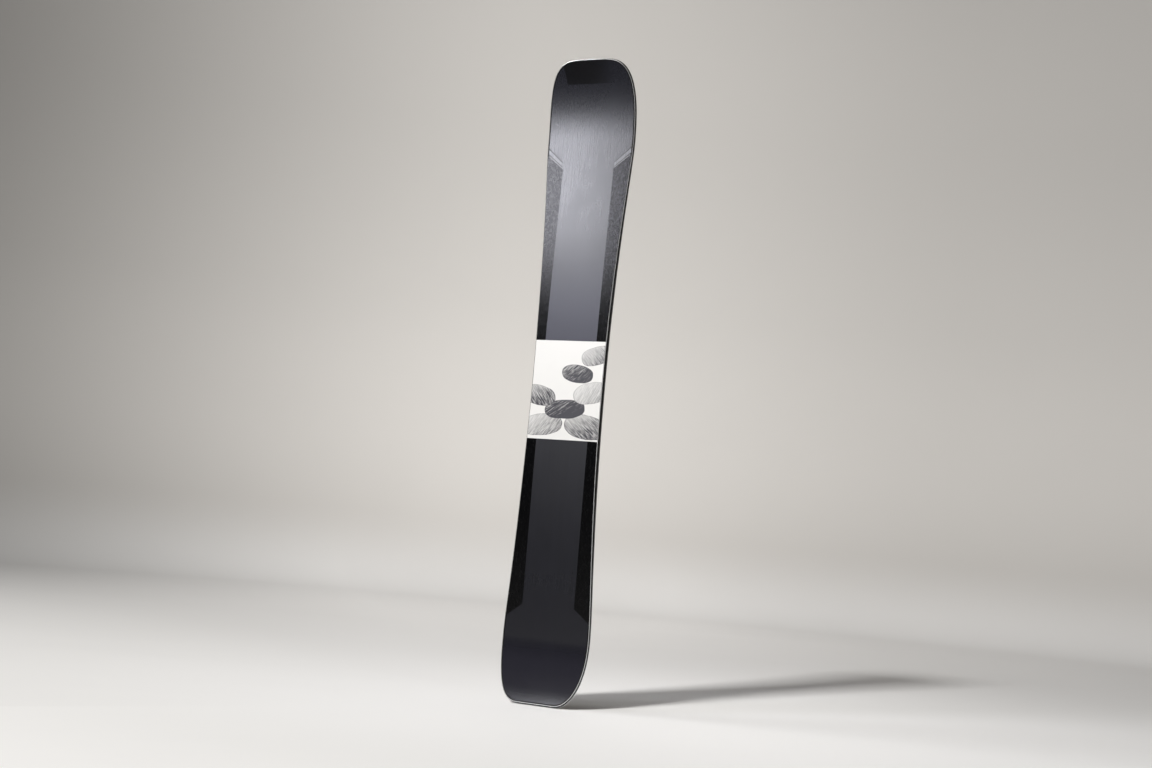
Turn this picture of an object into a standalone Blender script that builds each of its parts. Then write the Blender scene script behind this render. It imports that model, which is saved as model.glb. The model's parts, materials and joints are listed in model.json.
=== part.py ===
"""A short, wide all-round ski, built up as the glued sandwich that such a ski is.

The ski stands upright on its tail. Z runs along its length with the tip up, X across its width, and the
topsheet faces -Y. The origin is under the middle of its bounding box, at the foot of the tail.

Two coordinates describe every point before the ski is bent to its side profile: a place along the length,
measured up from the tail, and a height, measured square to the running surface towards the topsheet.
"""

import math

import bmesh
import bpy
from mathutils import Vector

# Outline, in metres
LENGTH = 0.990
TIP_WIDTH = 0.1445
WAIST_WIDTH = 0.117
TAIL_WIDTH = 0.1412
WAIST_PLACE = 0.485
TIP_CORNER_LENGTH = 0.1275
TAIL_CORNER_LENGTH = 0.102
TIP_FLAT_WIDTH = 0.014
TAIL_FLAT_WIDTH = 0.056
TIP_SQUARENESS = 3.7
TAIL_SQUARENESS = 2.4
SIDECUT_BLEND = 16

# Side profile
TIP_RISE = 0.026
TIP_CURVE_LENGTH = 0.133
TAIL_RISE = 0.0205
TAIL_CURVE_LENGTH = 0.098
CAMBER = 0.001
WAIST_THICKNESS = 0.0117
END_THICKNESS = 0.0070

# Flat binding platform, which the white panel covers
PLATFORM_START = 0.397
PLATFORM_LENGTH = 0.152

# Layers, from the running surface up
GLUE_GAP = 0.0003
BASE_THICKNESS = 0.0012
EDGE_WIDTH = 0.0025
TANG_THICKNESS = 0.0005
TANG_WIDTH = 0.0055
DAMPING_THICKNESS = 0.0003
LOWER_LAMINATE_THICKNESS = 0.0006
REINFORCEMENT_THICKNESS = 0.0006
UPPER_LAMINATE_THICKNESS = 0.0005
TOPSHEET_THICKNESS = 0.0006

# Core
STRINGER_COUNT = 7
STRINGER_WIDTH = 0.0140

# Sheet in the top of the core, under the platform
REINFORCEMENT_LENGTH = 0.240
REINFORCEMENT_MARGIN = 0.0020
POCKET_RAMP_LENGTH = 0.0060

# Seams between pieces of one layer
SEAM_GAP = 0.0003

# Topsheet fields
RIM_WIDTH = 0.0010
CENTRE_STRIP_WIDTH = 0.0850
TIP_FIELD_LENGTH = 0.170
TAIL_FIELD_LENGTH = 0.1465
PANEL_END_SLOPE = math.radians(38)
PANEL_POINT_WIDTH = 0.0006

# How finely curves are drawn
CORNER_STEPS = 14
ROW_SPACING = 0.024
LEAST_ROW_SPACING = 0.003
SHARP_ANGLE = math.radians(30)

# Values that follow from the sizes above
PLATFORM_END = PLATFORM_START + PLATFORM_LENGTH
PLATFORM_MIDDLE = (PLATFORM_START + PLATFORM_END) / 2
TIP_WIDEST = LENGTH - TIP_CORNER_LENGTH
TAIL_WIDEST = TAIL_CORNER_LENGTH
TIP_CONTACT = LENGTH - TIP_CURVE_LENGTH
TAIL_CONTACT = TAIL_CURVE_LENGTH
EDGE_HEIGHT = BASE_THICKNESS + GLUE_GAP + TANG_THICKNESS
FLANGE_INSET = EDGE_WIDTH + TANG_WIDTH + GLUE_GAP
CORE_INSET = FLANGE_INSET + LOWER_LAMINATE_THICKNESS + GLUE_GAP
DAMPING_LOW = EDGE_HEIGHT + GLUE_GAP
FLANGE_LOW = DAMPING_LOW + DAMPING_THICKNESS + GLUE_GAP
FLANGE_HIGH = FLANGE_LOW + LOWER_LAMINATE_THICKNESS
LAMINATE_LOW = BASE_THICKNESS + GLUE_GAP
LAMINATE_HIGH = LAMINATE_LOW + LOWER_LAMINATE_THICKNESS
CORE_LOW = LAMINATE_HIGH + GLUE_GAP
RAIL_LOW = FLANGE_HIGH + GLUE_GAP
TIP_FIELD_START = LENGTH - TIP_FIELD_LENGTH
TAIL_FIELD_END = TAIL_FIELD_LENGTH
STRIP_HALF_WIDTH = CENTRE_STRIP_WIDTH / 2

# Colour, roughness and metallic value of each material
FINISHES = {
    "charcoal_topsheet": ((0.030, 0.031, 0.038), 0.32, 0.0),
    "black_panel": ((0.006, 0.006, 0.007), 0.38, 0.0),
    "white_panel": ((0.90, 0.89, 0.86), 0.40, 0.0),
    "alloy_sheet": ((0.72, 0.73, 0.74), 0.28, 1.0),
    "black_sidewall": ((0.008, 0.008, 0.009), 0.12, 0.0),
    "edge_steel": ((0.60, 0.60, 0.62), 0.25, 1.0),
    "running_base": ((0.012, 0.012, 0.013), 0.35, 0.0),
    "fibre_laminate": ((0.020, 0.020, 0.018), 0.30, 0.0),
    "wood_core": ((0.55, 0.38, 0.20), 0.60, 0.0),
    "damping_rubber": ((0.015, 0.015, 0.015), 0.75, 0.0),
    "end_spacer": ((0.010, 0.010, 0.011), 0.30, 0.0),
    "reinforcement_sheet": ((0.25, 0.24, 0.20), 0.55, 0.0),
}


def ease(share):
    """Smooth step from 0 to 1 that starts and ends level."""
    held = min(max(share, 0.0), 1.0)
    return held * held * (3.0 - 2.0 * held)


def plateau(place):
    """0 beyond the two contact lines, 1 on the binding platform, smooth between."""
    from_tail = ease((place - TAIL_CONTACT) / (PLATFORM_START - TAIL_CONTACT))
    from_tip = ease((TIP_CONTACT - place) / (TIP_CONTACT - PLATFORM_END))
    return min(from_tail, from_tip)


def thickness(place):
    """Total thickness of the sandwich."""
    return END_THICKNESS + (WAIST_THICKNESS - END_THICKNESS) * plateau(place)


def surface_depth(place):
    """Y of the running surface: 0 at the contact lines, less where the ski bends towards its topsheet."""
    tip = max(place - TIP_CONTACT, 0.0) / TIP_CURVE_LENGTH
    tail = max(TAIL_CONTACT - place, 0.0) / TAIL_CURVE_LENGTH
    return -(TIP_RISE * tip * tip + TAIL_RISE * tail * tail + CAMBER * plateau(place))


def bend(across, place, height):
    """Point of the bent ski for a distance across it, a place along it and a height in it."""
    step = 1e-5
    slope = (surface_depth(place + step) - surface_depth(place - step)) / (2 * step)
    length = math.hypot(1.0, slope)
    return Vector((across, surface_depth(place) - height / length, place + height * slope / length))


def core_high(place):
    """Top of the sidewalls, spacers and, outside the pocket, of the core."""
    return thickness(place) - TOPSHEET_THICKNESS - UPPER_LAMINATE_THICKNESS - 2 * GLUE_GAP


def pocket_high(place):
    """Top of the core, which drops into a shallow pocket for the reinforcement sheet."""
    beyond = abs(place - PLATFORM_MIDDLE) - REINFORCEMENT_LENGTH / 2 - GLUE_GAP
    ramp = min(max(1.0 - beyond / POCKET_RAMP_LENGTH, 0.0), 1.0)
    return core_high(place) - ramp * (REINFORCEMENT_THICKNESS + GLUE_GAP)


def reinforcement_low(place):
    """Underside of the reinforcement sheet."""
    return core_high(place) - REINFORCEMENT_THICKNESS


def upper_laminate_low(place):
    """Underside of the metal sheet."""
    return core_high(place) + GLUE_GAP


def upper_laminate_high(place):
    """Top of the metal sheet."""
    return upper_laminate_low(place) + UPPER_LAMINATE_THICKNESS


def topsheet_low(place):
    """Underside of the topsheet fields."""
    return thickness(place) - TOPSHEET_THICKNESS


def corner(share, flat, widest, squareness):
    """Half width in a rounded end: share is 0 at the widest place and 1 at the end."""
    rounded = max(1.0 - share ** squareness, 0.0) ** (1.0 / squareness)
    return flat + (widest - flat) * rounded


def sidecut(share):
    """Growth of the half width from 0 at the waist to 1 at the widest place, level at both."""
    blend = 2.0 / SIDECUT_BLEND
    return share * share * (1.0 + blend - blend * share ** SIDECUT_BLEND)


def half_width(place):
    """Half width of the outline at a place along the ski."""
    waist = WAIST_WIDTH / 2
    if place > TIP_WIDEST:
        share = min((place - TIP_WIDEST) / TIP_CORNER_LENGTH, 1.0)
        return corner(share, TIP_FLAT_WIDTH / 2, TIP_WIDTH / 2, TIP_SQUARENESS)
    if place < TAIL_WIDEST:
        share = min((TAIL_WIDEST - place) / TAIL_CORNER_LENGTH, 1.0)
        return corner(share, TAIL_FLAT_WIDTH / 2, TAIL_WIDTH / 2, TAIL_SQUARENESS)
    if place > WAIST_PLACE:
        return waist + (TIP_WIDTH / 2 - waist) * sidecut((place - WAIST_PLACE) / (TIP_WIDEST - WAIST_PLACE))
    return waist + (TAIL_WIDTH / 2 - waist) * sidecut((WAIST_PLACE - place) / (WAIST_PLACE - TAIL_WIDEST))


def row_places():
    """Places along the ski that get a row of points, closer together in the rounded ends."""
    fixed = [0.0, TAIL_CONTACT, TAIL_WIDEST, PLATFORM_START, PLATFORM_END, TIP_WIDEST, TIP_CONTACT, LENGTH]
    turns = [math.pi / 2 * step / CORNER_STEPS for step in range(1, CORNER_STEPS)]
    tail_rows = [TAIL_WIDEST - TAIL_CORNER_LENGTH * math.sin(turn) for turn in turns]
    tip_rows = [TIP_WIDEST + TIP_CORNER_LENGTH * math.sin(turn) for turn in turns]
    side_count = math.ceil((TIP_WIDEST - TAIL_WIDEST) / ROW_SPACING)
    side_step = (TIP_WIDEST - TAIL_WIDEST) / side_count
    side_rows = [TAIL_WIDEST + side_step * number for number in range(1, side_count)]
    middle = [place for place in fixed if 0.0 < place < LENGTH]
    free = [place for place in tail_rows + side_rows + tip_rows
            if all(abs(place - other) > LEAST_ROW_SPACING for other in middle)]
    return sorted(set(fixed + free))


def right_outline():
    """Points of the right half of the outline, from the tail's flat to the tip's flat."""
    return [Vector((half_width(place), place)) for place in row_places()]


def inset_outline(inset):
    """The right half of the outline moved inwards by one distance all round, point for point."""
    points = right_outline()
    before = Vector((-points[0].x, points[0].y))
    after = Vector((-points[-1].x, points[-1].y))
    padded = [before] + points + [after]
    moved = []
    for previous, point, following in zip(padded, padded[1:], padded[2:]):
        arriving = (point - previous).normalized()
        leaving = (following - point).normalized()
        inward_one = Vector((-arriving.y, arriving.x))
        inward_two = Vector((-leaving.y, leaving.x))
        mitre = (inward_one + inward_two).normalized()
        moved.append(point + mitre * (inset / mitre.dot(inward_one)))
    return moved


def point_at(points, place):
    """Point on a row of outline points at an exact place along the ski."""
    for first, second in zip(points, points[1:]):
        if first.y <= place <= second.y:
            share = (place - first.y) / (second.y - first.y)
            return first.lerp(second, share)
    return points[0].copy() if place < points[0].y else points[-1].copy()


def outline_span(inset, start=None, end=None):
    """Stretch of an inset outline, cut square at a start and an end place where these are given."""
    plain = right_outline()
    moved = inset_outline(inset)
    kept = [point for base, point in zip(plain, moved)
            if (start is None or base.y > start + LEAST_ROW_SPACING)
            and (end is None or base.y < end - LEAST_ROW_SPACING)]
    if start is not None:
        kept.insert(0, point_at(moved, start))
    if end is not None:
        kept.append(point_at(moved, end))
    return kept


def value_at(height, place):
    """Height as a number, whether it is given as one or as a function of the place."""
    return height(place) if callable(height) else height


def mirrored(points):
    """The same points on the other side of the middle."""
    return [Vector((-point.x, point.y)) for point in points]


def make_material(name):
    """Principled material with the colour, roughness and metallic value of one finish."""
    colour, roughness, metallic = FINISHES[name]
    material = bpy.data.materials.new(name)
    material.use_nodes = True
    shader = material.node_tree.nodes["Principled BSDF"]
    shader.inputs["Base Color"].default_value = (*colour, 1.0)
    shader.inputs["Roughness"].default_value = roughness
    shader.inputs["Metallic"].default_value = metallic
    material.diffuse_color = (*colour, 1.0)
    return material


def make_object(name, points, faces, material, parent):
    """Mesh object from points and faces, with its faces turned outwards."""
    shape = bmesh.new()
    corners = [shape.verts.new(point) for point in points]
    for face in faces:
        shape.faces.new([corners[number] for number in face])
    bmesh.ops.recalc_face_normals(shape, faces=shape.faces)
    mesh = bpy.data.meshes.new(name)
    shape.to_mesh(mesh)
    shape.free()
    mesh.shade_smooth()
    mesh.set_sharp_from_angle(angle=SHARP_ANGLE)
    mesh.materials.append(material)
    piece = bpy.data.objects.new(name, mesh)
    piece.parent = parent
    bpy.context.scene.collection.objects.link(piece)
    return piece


def loft(name, rows, material, parent, first_cap=None, last_cap=None):
    """Closed solid through rows of points, each row one loop round the solid.

    A cap is a list of faces, each a list of point numbers within its row. Without one, the end is closed
    by a single flat face.
    """
    size = len(rows[0])
    faces = []
    for row in range(len(rows) - 1):
        for number in range(size):
            following = (number + 1) % size
            start = row * size
            faces.append([start + number, start + following, start + size + following, start + size + number])
    whole = [list(range(size))]
    for face in first_cap or whole:
        faces.append(list(face))
    last = (len(rows) - 1) * size
    for face in last_cap or whole:
        faces.append([last + number for number in face])
    points = [point for row in rows for point in row]
    return make_object(name, points, faces, material, parent)


def plate(name, left, right, low, high, material, parent):
    """Sheet between two lists of outline points that have the same places along the ski."""
    rows = []
    for start, end in zip(left, right):
        rows.append([
            bend(start.x, start.y, value_at(low, start.y)),
            bend(end.x, end.y, value_at(low, end.y)),
            bend(end.x, end.y, value_at(high, end.y)),
            bend(start.x, start.y, value_at(high, start.y)),
        ])
    return loft(name, rows, material, parent)


def layer(name, section, material, parent, start=None, end=None):
    """Layer across the whole ski.

    The section is a list of insets and heights from the underside's edge round the side to the top's edge.
    It is followed round the tip and the tail unless the layer is cut off square at a start or an end place.
    """
    spans = [outline_span(inset, start, end) for inset, _ in section]
    rows = []
    for points in zip(*spans):
        right = [bend(point.x, point.y, value_at(height, point.y)) for point, (_, height) in zip(points, section)]
        left = [Vector((-point.x, point.y, point.z)) for point in reversed(right)]
        rows.append(right + left)
    count = len(section)
    folded = [[number, number + 1, 2 * count - 2 - number, 2 * count - 1 - number] for number in range(count - 1)]
    first_cap = folded if start is None else None
    last_cap = folded if end is None else None
    return loft(name, rows, material, parent, first_cap, last_cap)


def half_wrap(inset):
    """Half of an inset outline, from the middle of the tail to the middle of the tip."""
    first = Vector((GLUE_GAP / 2, inset))
    last = Vector((GLUE_GAP / 2, LENGTH - inset))
    return [first] + inset_outline(inset) + [last]


def running_stretch(inset):
    """Stretch of an inset outline between the two widest places."""
    return outline_span(inset, TAIL_WIDEST + GLUE_GAP / 2, TIP_WIDEST - GLUE_GAP / 2)


def tip_wrap(inset):
    """Inset outline round the tip, from the widest place on the left to the one on the right."""
    right = outline_span(inset, start=TIP_WIDEST + GLUE_GAP / 2)
    return mirrored(right) + right[::-1]


def tail_wrap(inset):
    """Inset outline round the tail, from the widest place on the left to the one on the right."""
    right = outline_span(inset, end=TAIL_WIDEST - GLUE_GAP / 2)
    return mirrored(right[::-1]) + right


def rail(name, path, section, material, parent, side=1):
    """Strip of one section along a path, which is a function of the inset; side -1 mirrors it."""
    spans = [path(inset) for inset, _ in section]
    rows = []
    for points in zip(*spans):
        rows.append([bend(side * point.x, point.y, height) for point, (_, height) in zip(points, section)])
    return loft(name, rows, material, parent)


def build_base(parent):
    """Running base between the steel edges, cut as two pieces that meet at the waist."""
    inset = EDGE_WIDTH + GLUE_GAP
    section = [(inset, 0.0), (inset, BASE_THICKNESS)]
    finish = make_material("running_base")
    layer("base_front", section, finish, parent, start=WAIST_PLACE + SEAM_GAP / 2)
    layer("base_rear", section, finish, parent, end=WAIST_PLACE - SEAM_GAP / 2)


def build_edges(parent):
    """Steel edges with their tangs, in four lengths, and the rubber strips over them."""
    tang_low = BASE_THICKNESS + GLUE_GAP
    tang_inset = EDGE_WIDTH + TANG_WIDTH
    steel = [(0.0, 0.0), (0.0, EDGE_HEIGHT), (tang_inset, EDGE_HEIGHT), (tang_inset, tang_low),
             (EDGE_WIDTH, tang_low), (EDGE_WIDTH, 0.0)]
    high = DAMPING_LOW + DAMPING_THICKNESS
    rubber = [(0.0, DAMPING_LOW), (0.0, high), (tang_inset, high), (tang_inset, DAMPING_LOW)]
    steel_finish = make_material("edge_steel")
    rubber_finish = make_material("damping_rubber")
    rail("edge_tip", tip_wrap, steel, steel_finish, parent)
    rail("edge_tail", tail_wrap, steel, steel_finish, parent)
    for word, side in (("left", -1), ("right", 1)):
        rail(f"edge_{word}", running_stretch, steel, steel_finish, parent, side)
        rail(f"damping_{word}", half_wrap, rubber, rubber_finish, parent, side)


def build_laminates(parent):
    """Fibre sheet that steps up over the tangs, and the metal sheet under the topsheet."""
    step_inset = FLANGE_INSET + LOWER_LAMINATE_THICKNESS
    section = [(FLANGE_INSET, LAMINATE_LOW), (FLANGE_INSET, FLANGE_LOW), (0.0, FLANGE_LOW), (0.0, FLANGE_HIGH),
               (step_inset, FLANGE_HIGH), (step_inset, LAMINATE_HIGH)]
    layer("lower_laminate", section, make_material("fibre_laminate"), parent)
    section = [(0.0, upper_laminate_low), (0.0, upper_laminate_high)]
    layer("upper_laminate", section, make_material("alloy_sheet"), parent)


def build_spacers(parent):
    """Fillers of the tip and the tail, from the widest places to the ends."""
    section = [(CORE_INSET, CORE_LOW), (CORE_INSET, RAIL_LOW), (0.0, RAIL_LOW), (0.0, core_high)]
    finish = make_material("end_spacer")
    layer("tip_spacer", section, finish, parent, start=TIP_WIDEST + GLUE_GAP)
    layer("tail_spacer", section, finish, parent, end=TAIL_WIDEST - GLUE_GAP)


def build_sidewalls(parent):
    """Side strips between the two spacers."""
    outer = outline_span(0.0, TAIL_WIDEST, TIP_WIDEST)
    inner = outline_span(CORE_INSET - GLUE_GAP, TAIL_WIDEST, TIP_WIDEST)
    finish = make_material("black_sidewall")
    plate("sidewall_right", inner, outer, RAIL_LOW, core_high, finish, parent)
    plate("sidewall_left", mirrored(outer), mirrored(inner), RAIL_LOW, core_high, finish, parent)


def core_places():
    """Rows of the wood strips, with the pocket's ramps among them."""
    reach = REINFORCEMENT_LENGTH / 2 + GLUE_GAP
    ramps = [PLATFORM_MIDDLE - reach - POCKET_RAMP_LENGTH, PLATFORM_MIDDLE - reach,
             PLATFORM_MIDDLE + reach, PLATFORM_MIDDLE + reach + POCKET_RAMP_LENGTH]
    plain = [place for place in row_places()
             if TAIL_WIDEST < place < TIP_WIDEST and all(abs(place - ramp) > LEAST_ROW_SPACING for ramp in ramps)]
    return sorted([TAIL_WIDEST, TIP_WIDEST] + plain + ramps)


def build_core(parent):
    """Wood strips side by side, the outer two cut to the sidecut."""
    finish = make_material("wood_core")
    places = core_places()
    side = inset_outline(CORE_INSET)
    inner_count = STRINGER_COUNT - 2
    inner_edge = inner_count * STRINGER_WIDTH / 2
    for number in range(STRINGER_COUNT):
        left_edge = -inner_edge + (number - 1) * STRINGER_WIDTH + GLUE_GAP / 2
        right_edge = left_edge + STRINGER_WIDTH - GLUE_GAP
        left = [Vector((left_edge, place)) for place in places]
        right = [Vector((right_edge, place)) for place in places]
        if number == 0:
            left = [Vector((-point_at(side, place).x, place)) for place in places]
        if number == STRINGER_COUNT - 1:
            right = [Vector((point_at(side, place).x, place)) for place in places]
        plate(f"core_stringer_{number + 1}", left, right, CORE_LOW, pocket_high, finish, parent)


def build_reinforcement(parent):
    """Sheet in the core's pocket, under the binding platform."""
    start = PLATFORM_MIDDLE - REINFORCEMENT_LENGTH / 2
    end = PLATFORM_MIDDLE + REINFORCEMENT_LENGTH / 2
    right = outline_span(CORE_INSET + REINFORCEMENT_MARGIN, start, end)
    finish = make_material("reinforcement_sheet")
    plate("binding_reinforcement", mirrored(right), right, reinforcement_low, core_high, finish, parent)


def panel_corner(edge, inner_place, direction, across):
    """Where a panel's sloping end, which starts at its inner corner, meets the line of the edge."""
    place = inner_place
    for _ in range(12):
        reach = point_at(edge, place).x - across
        place = inner_place + direction * reach * math.tan(PANEL_END_SLOPE)
    return point_at(edge, place)


def field_outline(edge, seam, inner_place, direction):
    """Right side of a charcoal field: up the centre strip, out along the panel's end, round the ski's end.

    The seam is the straight end of the strip at the white panel. The direction is 1 for the field at the
    tip and -1 for the one at the tail.
    """
    outer = panel_corner(edge, inner_place, direction, STRIP_HALF_WIDTH)
    strip = [place for place in row_places()
             if min(seam, inner_place) + LEAST_ROW_SPACING < place < max(seam, inner_place) - LEAST_ROW_SPACING]
    strip_points = [Vector((STRIP_HALF_WIDTH, place)) for place in sorted(strip + [seam, inner_place])]
    if direction > 0:
        beyond = [point for point in edge if point.y > outer.y + LEAST_ROW_SPACING]
        return strip_points + [outer] + beyond
    beyond = [point for point in edge if point.y < outer.y - LEAST_ROW_SPACING]
    return beyond + [outer] + strip_points


def panel_outlines(edge, seam, inner_place, direction):
    """Inner and outer side of one right-hand panel, as points at the same places along the ski."""
    seam_shift = SEAM_GAP / math.cos(PANEL_END_SLOPE) - SEAM_GAP * math.tan(PANEL_END_SLOPE)
    inner_across = STRIP_HALF_WIDTH + SEAM_GAP
    inner_place = inner_place - direction * seam_shift
    outer = panel_corner(edge, inner_place, direction, inner_across)
    blunt = outer.y - direction * PANEL_POINT_WIDTH * math.tan(PANEL_END_SLOPE)
    first, last = min(seam, blunt), max(seam, blunt)
    places = [place for place in row_places() if first + LEAST_ROW_SPACING < place < last - LEAST_ROW_SPACING]
    places = [place for place in places if abs(place - inner_place) > LEAST_ROW_SPACING]
    places = sorted(places + [first, inner_place, last])
    inner = []
    for place in places:
        past = max(direction * (place - inner_place), 0.0)
        inner.append(Vector((inner_across + past / math.tan(PANEL_END_SLOPE), place)))
    return inner, [Vector((point_at(edge, place).x, place)) for place in places]


def build_topsheet(parent):
    """Charcoal fields, side panels and white waist panel, all flush in one layer."""
    edge = outline_span(RIM_WIDTH)
    charcoal = make_material("charcoal_topsheet")
    black = make_material("black_panel")
    ends = (("front", PLATFORM_END + SEAM_GAP, TIP_FIELD_START, 1),
            ("rear", PLATFORM_START - SEAM_GAP, TAIL_FIELD_END, -1))
    for word, seam, inner_place, direction in ends:
        field = field_outline(edge, seam, inner_place, direction)
        plate(f"topsheet_{word}", mirrored(field), field, topsheet_low, thickness, charcoal, parent)
        inner, outer = panel_outlines(edge, seam, inner_place, direction)
        plate(f"panel_{word}_right", inner, outer, topsheet_low, thickness, black, parent)
        plate(f"panel_{word}_left", mirrored(outer), mirrored(inner), topsheet_low, thickness, black, parent)
    waist = outline_span(RIM_WIDTH, PLATFORM_START, PLATFORM_END)
    plate("waist_panel", mirrored(waist), waist, topsheet_low, thickness, make_material("white_panel"), parent)


def clear_scene():
    """Remove whatever the opened scene holds."""
    for leftover in list(bpy.data.objects):
        bpy.data.objects.remove(leftover, do_unlink=True)


def main():
    """Build the ski, with its bounding box centred on the origin in Y."""
    clear_scene()
    ski = bpy.data.objects.new("ski", None)
    bpy.context.scene.collection.objects.link(ski)
    foremost = bend(0.0, LENGTH - RIM_WIDTH, thickness(LENGTH)).y
    ski.location.y = -foremost / 2
    build_base(ski)
    build_edges(ski)
    build_laminates(ski)
    build_spacers(ski)
    build_sidewalls(ski)
    build_core(ski)
    build_reinforcement(ski)
    build_topsheet(ski)
    bpy.context.view_layer.update()


main()
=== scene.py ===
"""Short wide ski, stood upright on its tail and dressed for a studio picture.

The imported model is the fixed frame: Z runs up the ski from tail to tip, X across it, and the topsheet faces
-Y. Every visible layer is drawn again here with finer rows from the same outline and side profile, and takes
the place of its CAD node. The core inside keeps its CAD solids and gets materials.

A point of the ski is given by a place along its length, an inset from its outline and a height above its
running surface, and is then bent to the side profile.
"""

from __future__ import annotations

import json
import logging
import math
from dataclasses import dataclass, replace
from enum import Enum
from functools import cached_property, reduce
from typing import Any, Callable, Sequence, Union

import bmesh
import bpy
from bpy.types import Material, Node, NodeSocket, NodeTree, Object
from mathutils import Matrix, Vector

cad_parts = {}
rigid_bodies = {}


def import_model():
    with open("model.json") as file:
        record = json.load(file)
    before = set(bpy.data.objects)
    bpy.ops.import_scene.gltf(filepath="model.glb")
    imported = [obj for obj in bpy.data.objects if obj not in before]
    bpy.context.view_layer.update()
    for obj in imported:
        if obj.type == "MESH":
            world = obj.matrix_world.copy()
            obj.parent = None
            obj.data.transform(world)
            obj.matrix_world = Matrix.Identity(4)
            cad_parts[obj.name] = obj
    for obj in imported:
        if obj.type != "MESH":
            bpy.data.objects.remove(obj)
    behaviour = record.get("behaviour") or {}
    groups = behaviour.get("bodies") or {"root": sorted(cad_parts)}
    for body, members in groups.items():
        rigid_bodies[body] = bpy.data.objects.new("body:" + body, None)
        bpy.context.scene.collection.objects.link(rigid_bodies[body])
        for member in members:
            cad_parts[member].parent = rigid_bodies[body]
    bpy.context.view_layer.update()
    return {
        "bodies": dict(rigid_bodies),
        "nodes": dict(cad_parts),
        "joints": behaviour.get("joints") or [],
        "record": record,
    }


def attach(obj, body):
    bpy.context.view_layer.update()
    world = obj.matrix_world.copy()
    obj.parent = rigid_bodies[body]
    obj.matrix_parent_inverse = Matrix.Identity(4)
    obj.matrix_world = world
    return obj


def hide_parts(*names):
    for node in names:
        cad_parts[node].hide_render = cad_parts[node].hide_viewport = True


LOG = logging.getLogger("ski")
BODY = "root"

Pair = tuple[float, float]
Triple = tuple[float, float, float]
Colour = Triple
Height = Union[float, Callable[[float], float]]
Line = list[Vector]
Profile = list[tuple[Line, Height]]
Section = list[tuple[float, Height]]

STRIP_HALF_WIDTH = 0.0425
FRONT_CORNER = 0.820
PANEL_SLOPE = math.radians(38)


class Side(Enum):
    """Side of the ski, seen from the topsheet with the tip up."""

    LEFT = -1
    RIGHT = 1

    @property
    def word(self) -> str:
        """Word that the side adds to a piece's name."""
        return self.name.lower()


class SkiEnd(Enum):
    """End of the ski, as the direction from its middle."""

    FRONT = 1
    REAR = -1

    @property
    def word(self) -> str:
        """Word that the end adds to a piece's name."""
        return self.name.lower()


class Slot(Enum):
    """Material slots of the record that new pieces stand for."""

    CHARCOAL = "charcoal_topsheet"
    BLACK = "black_panel"
    WHITE = "white_panel"
    ALLOY = "alloy_sheet"
    SIDEWALL = "black_sidewall"
    STEEL = "edge_steel"
    BASE = "running_base"
    LAMINATE = "fibre_laminate"
    RUBBER = "damping_rubber"
    SPACER = "end_spacer"


def ease(share: float) -> float:
    """Smooth step from 0 to 1 that starts and ends level.

    Args:
        share: Position in the step, held between 0 and 1.

    Returns:
        The eased value.
    """
    held = min(max(share, 0.0), 1.0)
    return held * held * (3.0 - 2.0 * held)


def value_at(height: Height, place: float) -> float:
    """Height as a number, whether it is given as one or as a function of the place.

    Args:
        height: A number or a function of the place along the ski.
        place: Place along the ski.

    Returns:
        The height there.
    """
    return height(place) if callable(height) else height


def mirrored(points: Line) -> Line:
    """The same points on the other side of the middle."""
    return [Vector((-point.x, point.y)) for point in points]


def point_at(points: Line, place: float) -> Vector:
    """Point on a row of outline points at an exact place along the ski.

    Args:
        points: Points in rising order of their place.
        place: Place along the ski.

    Returns:
        The point, or the nearest end where the place lies outside.
    """
    for first, second in zip(points, points[1:]):
        if first.y <= place <= second.y:
            share = (place - first.y) / max(second.y - first.y, 1e-9)
            return first.lerp(second, share)
    return points[0].copy() if place < points[0].y else points[-1].copy()


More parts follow.
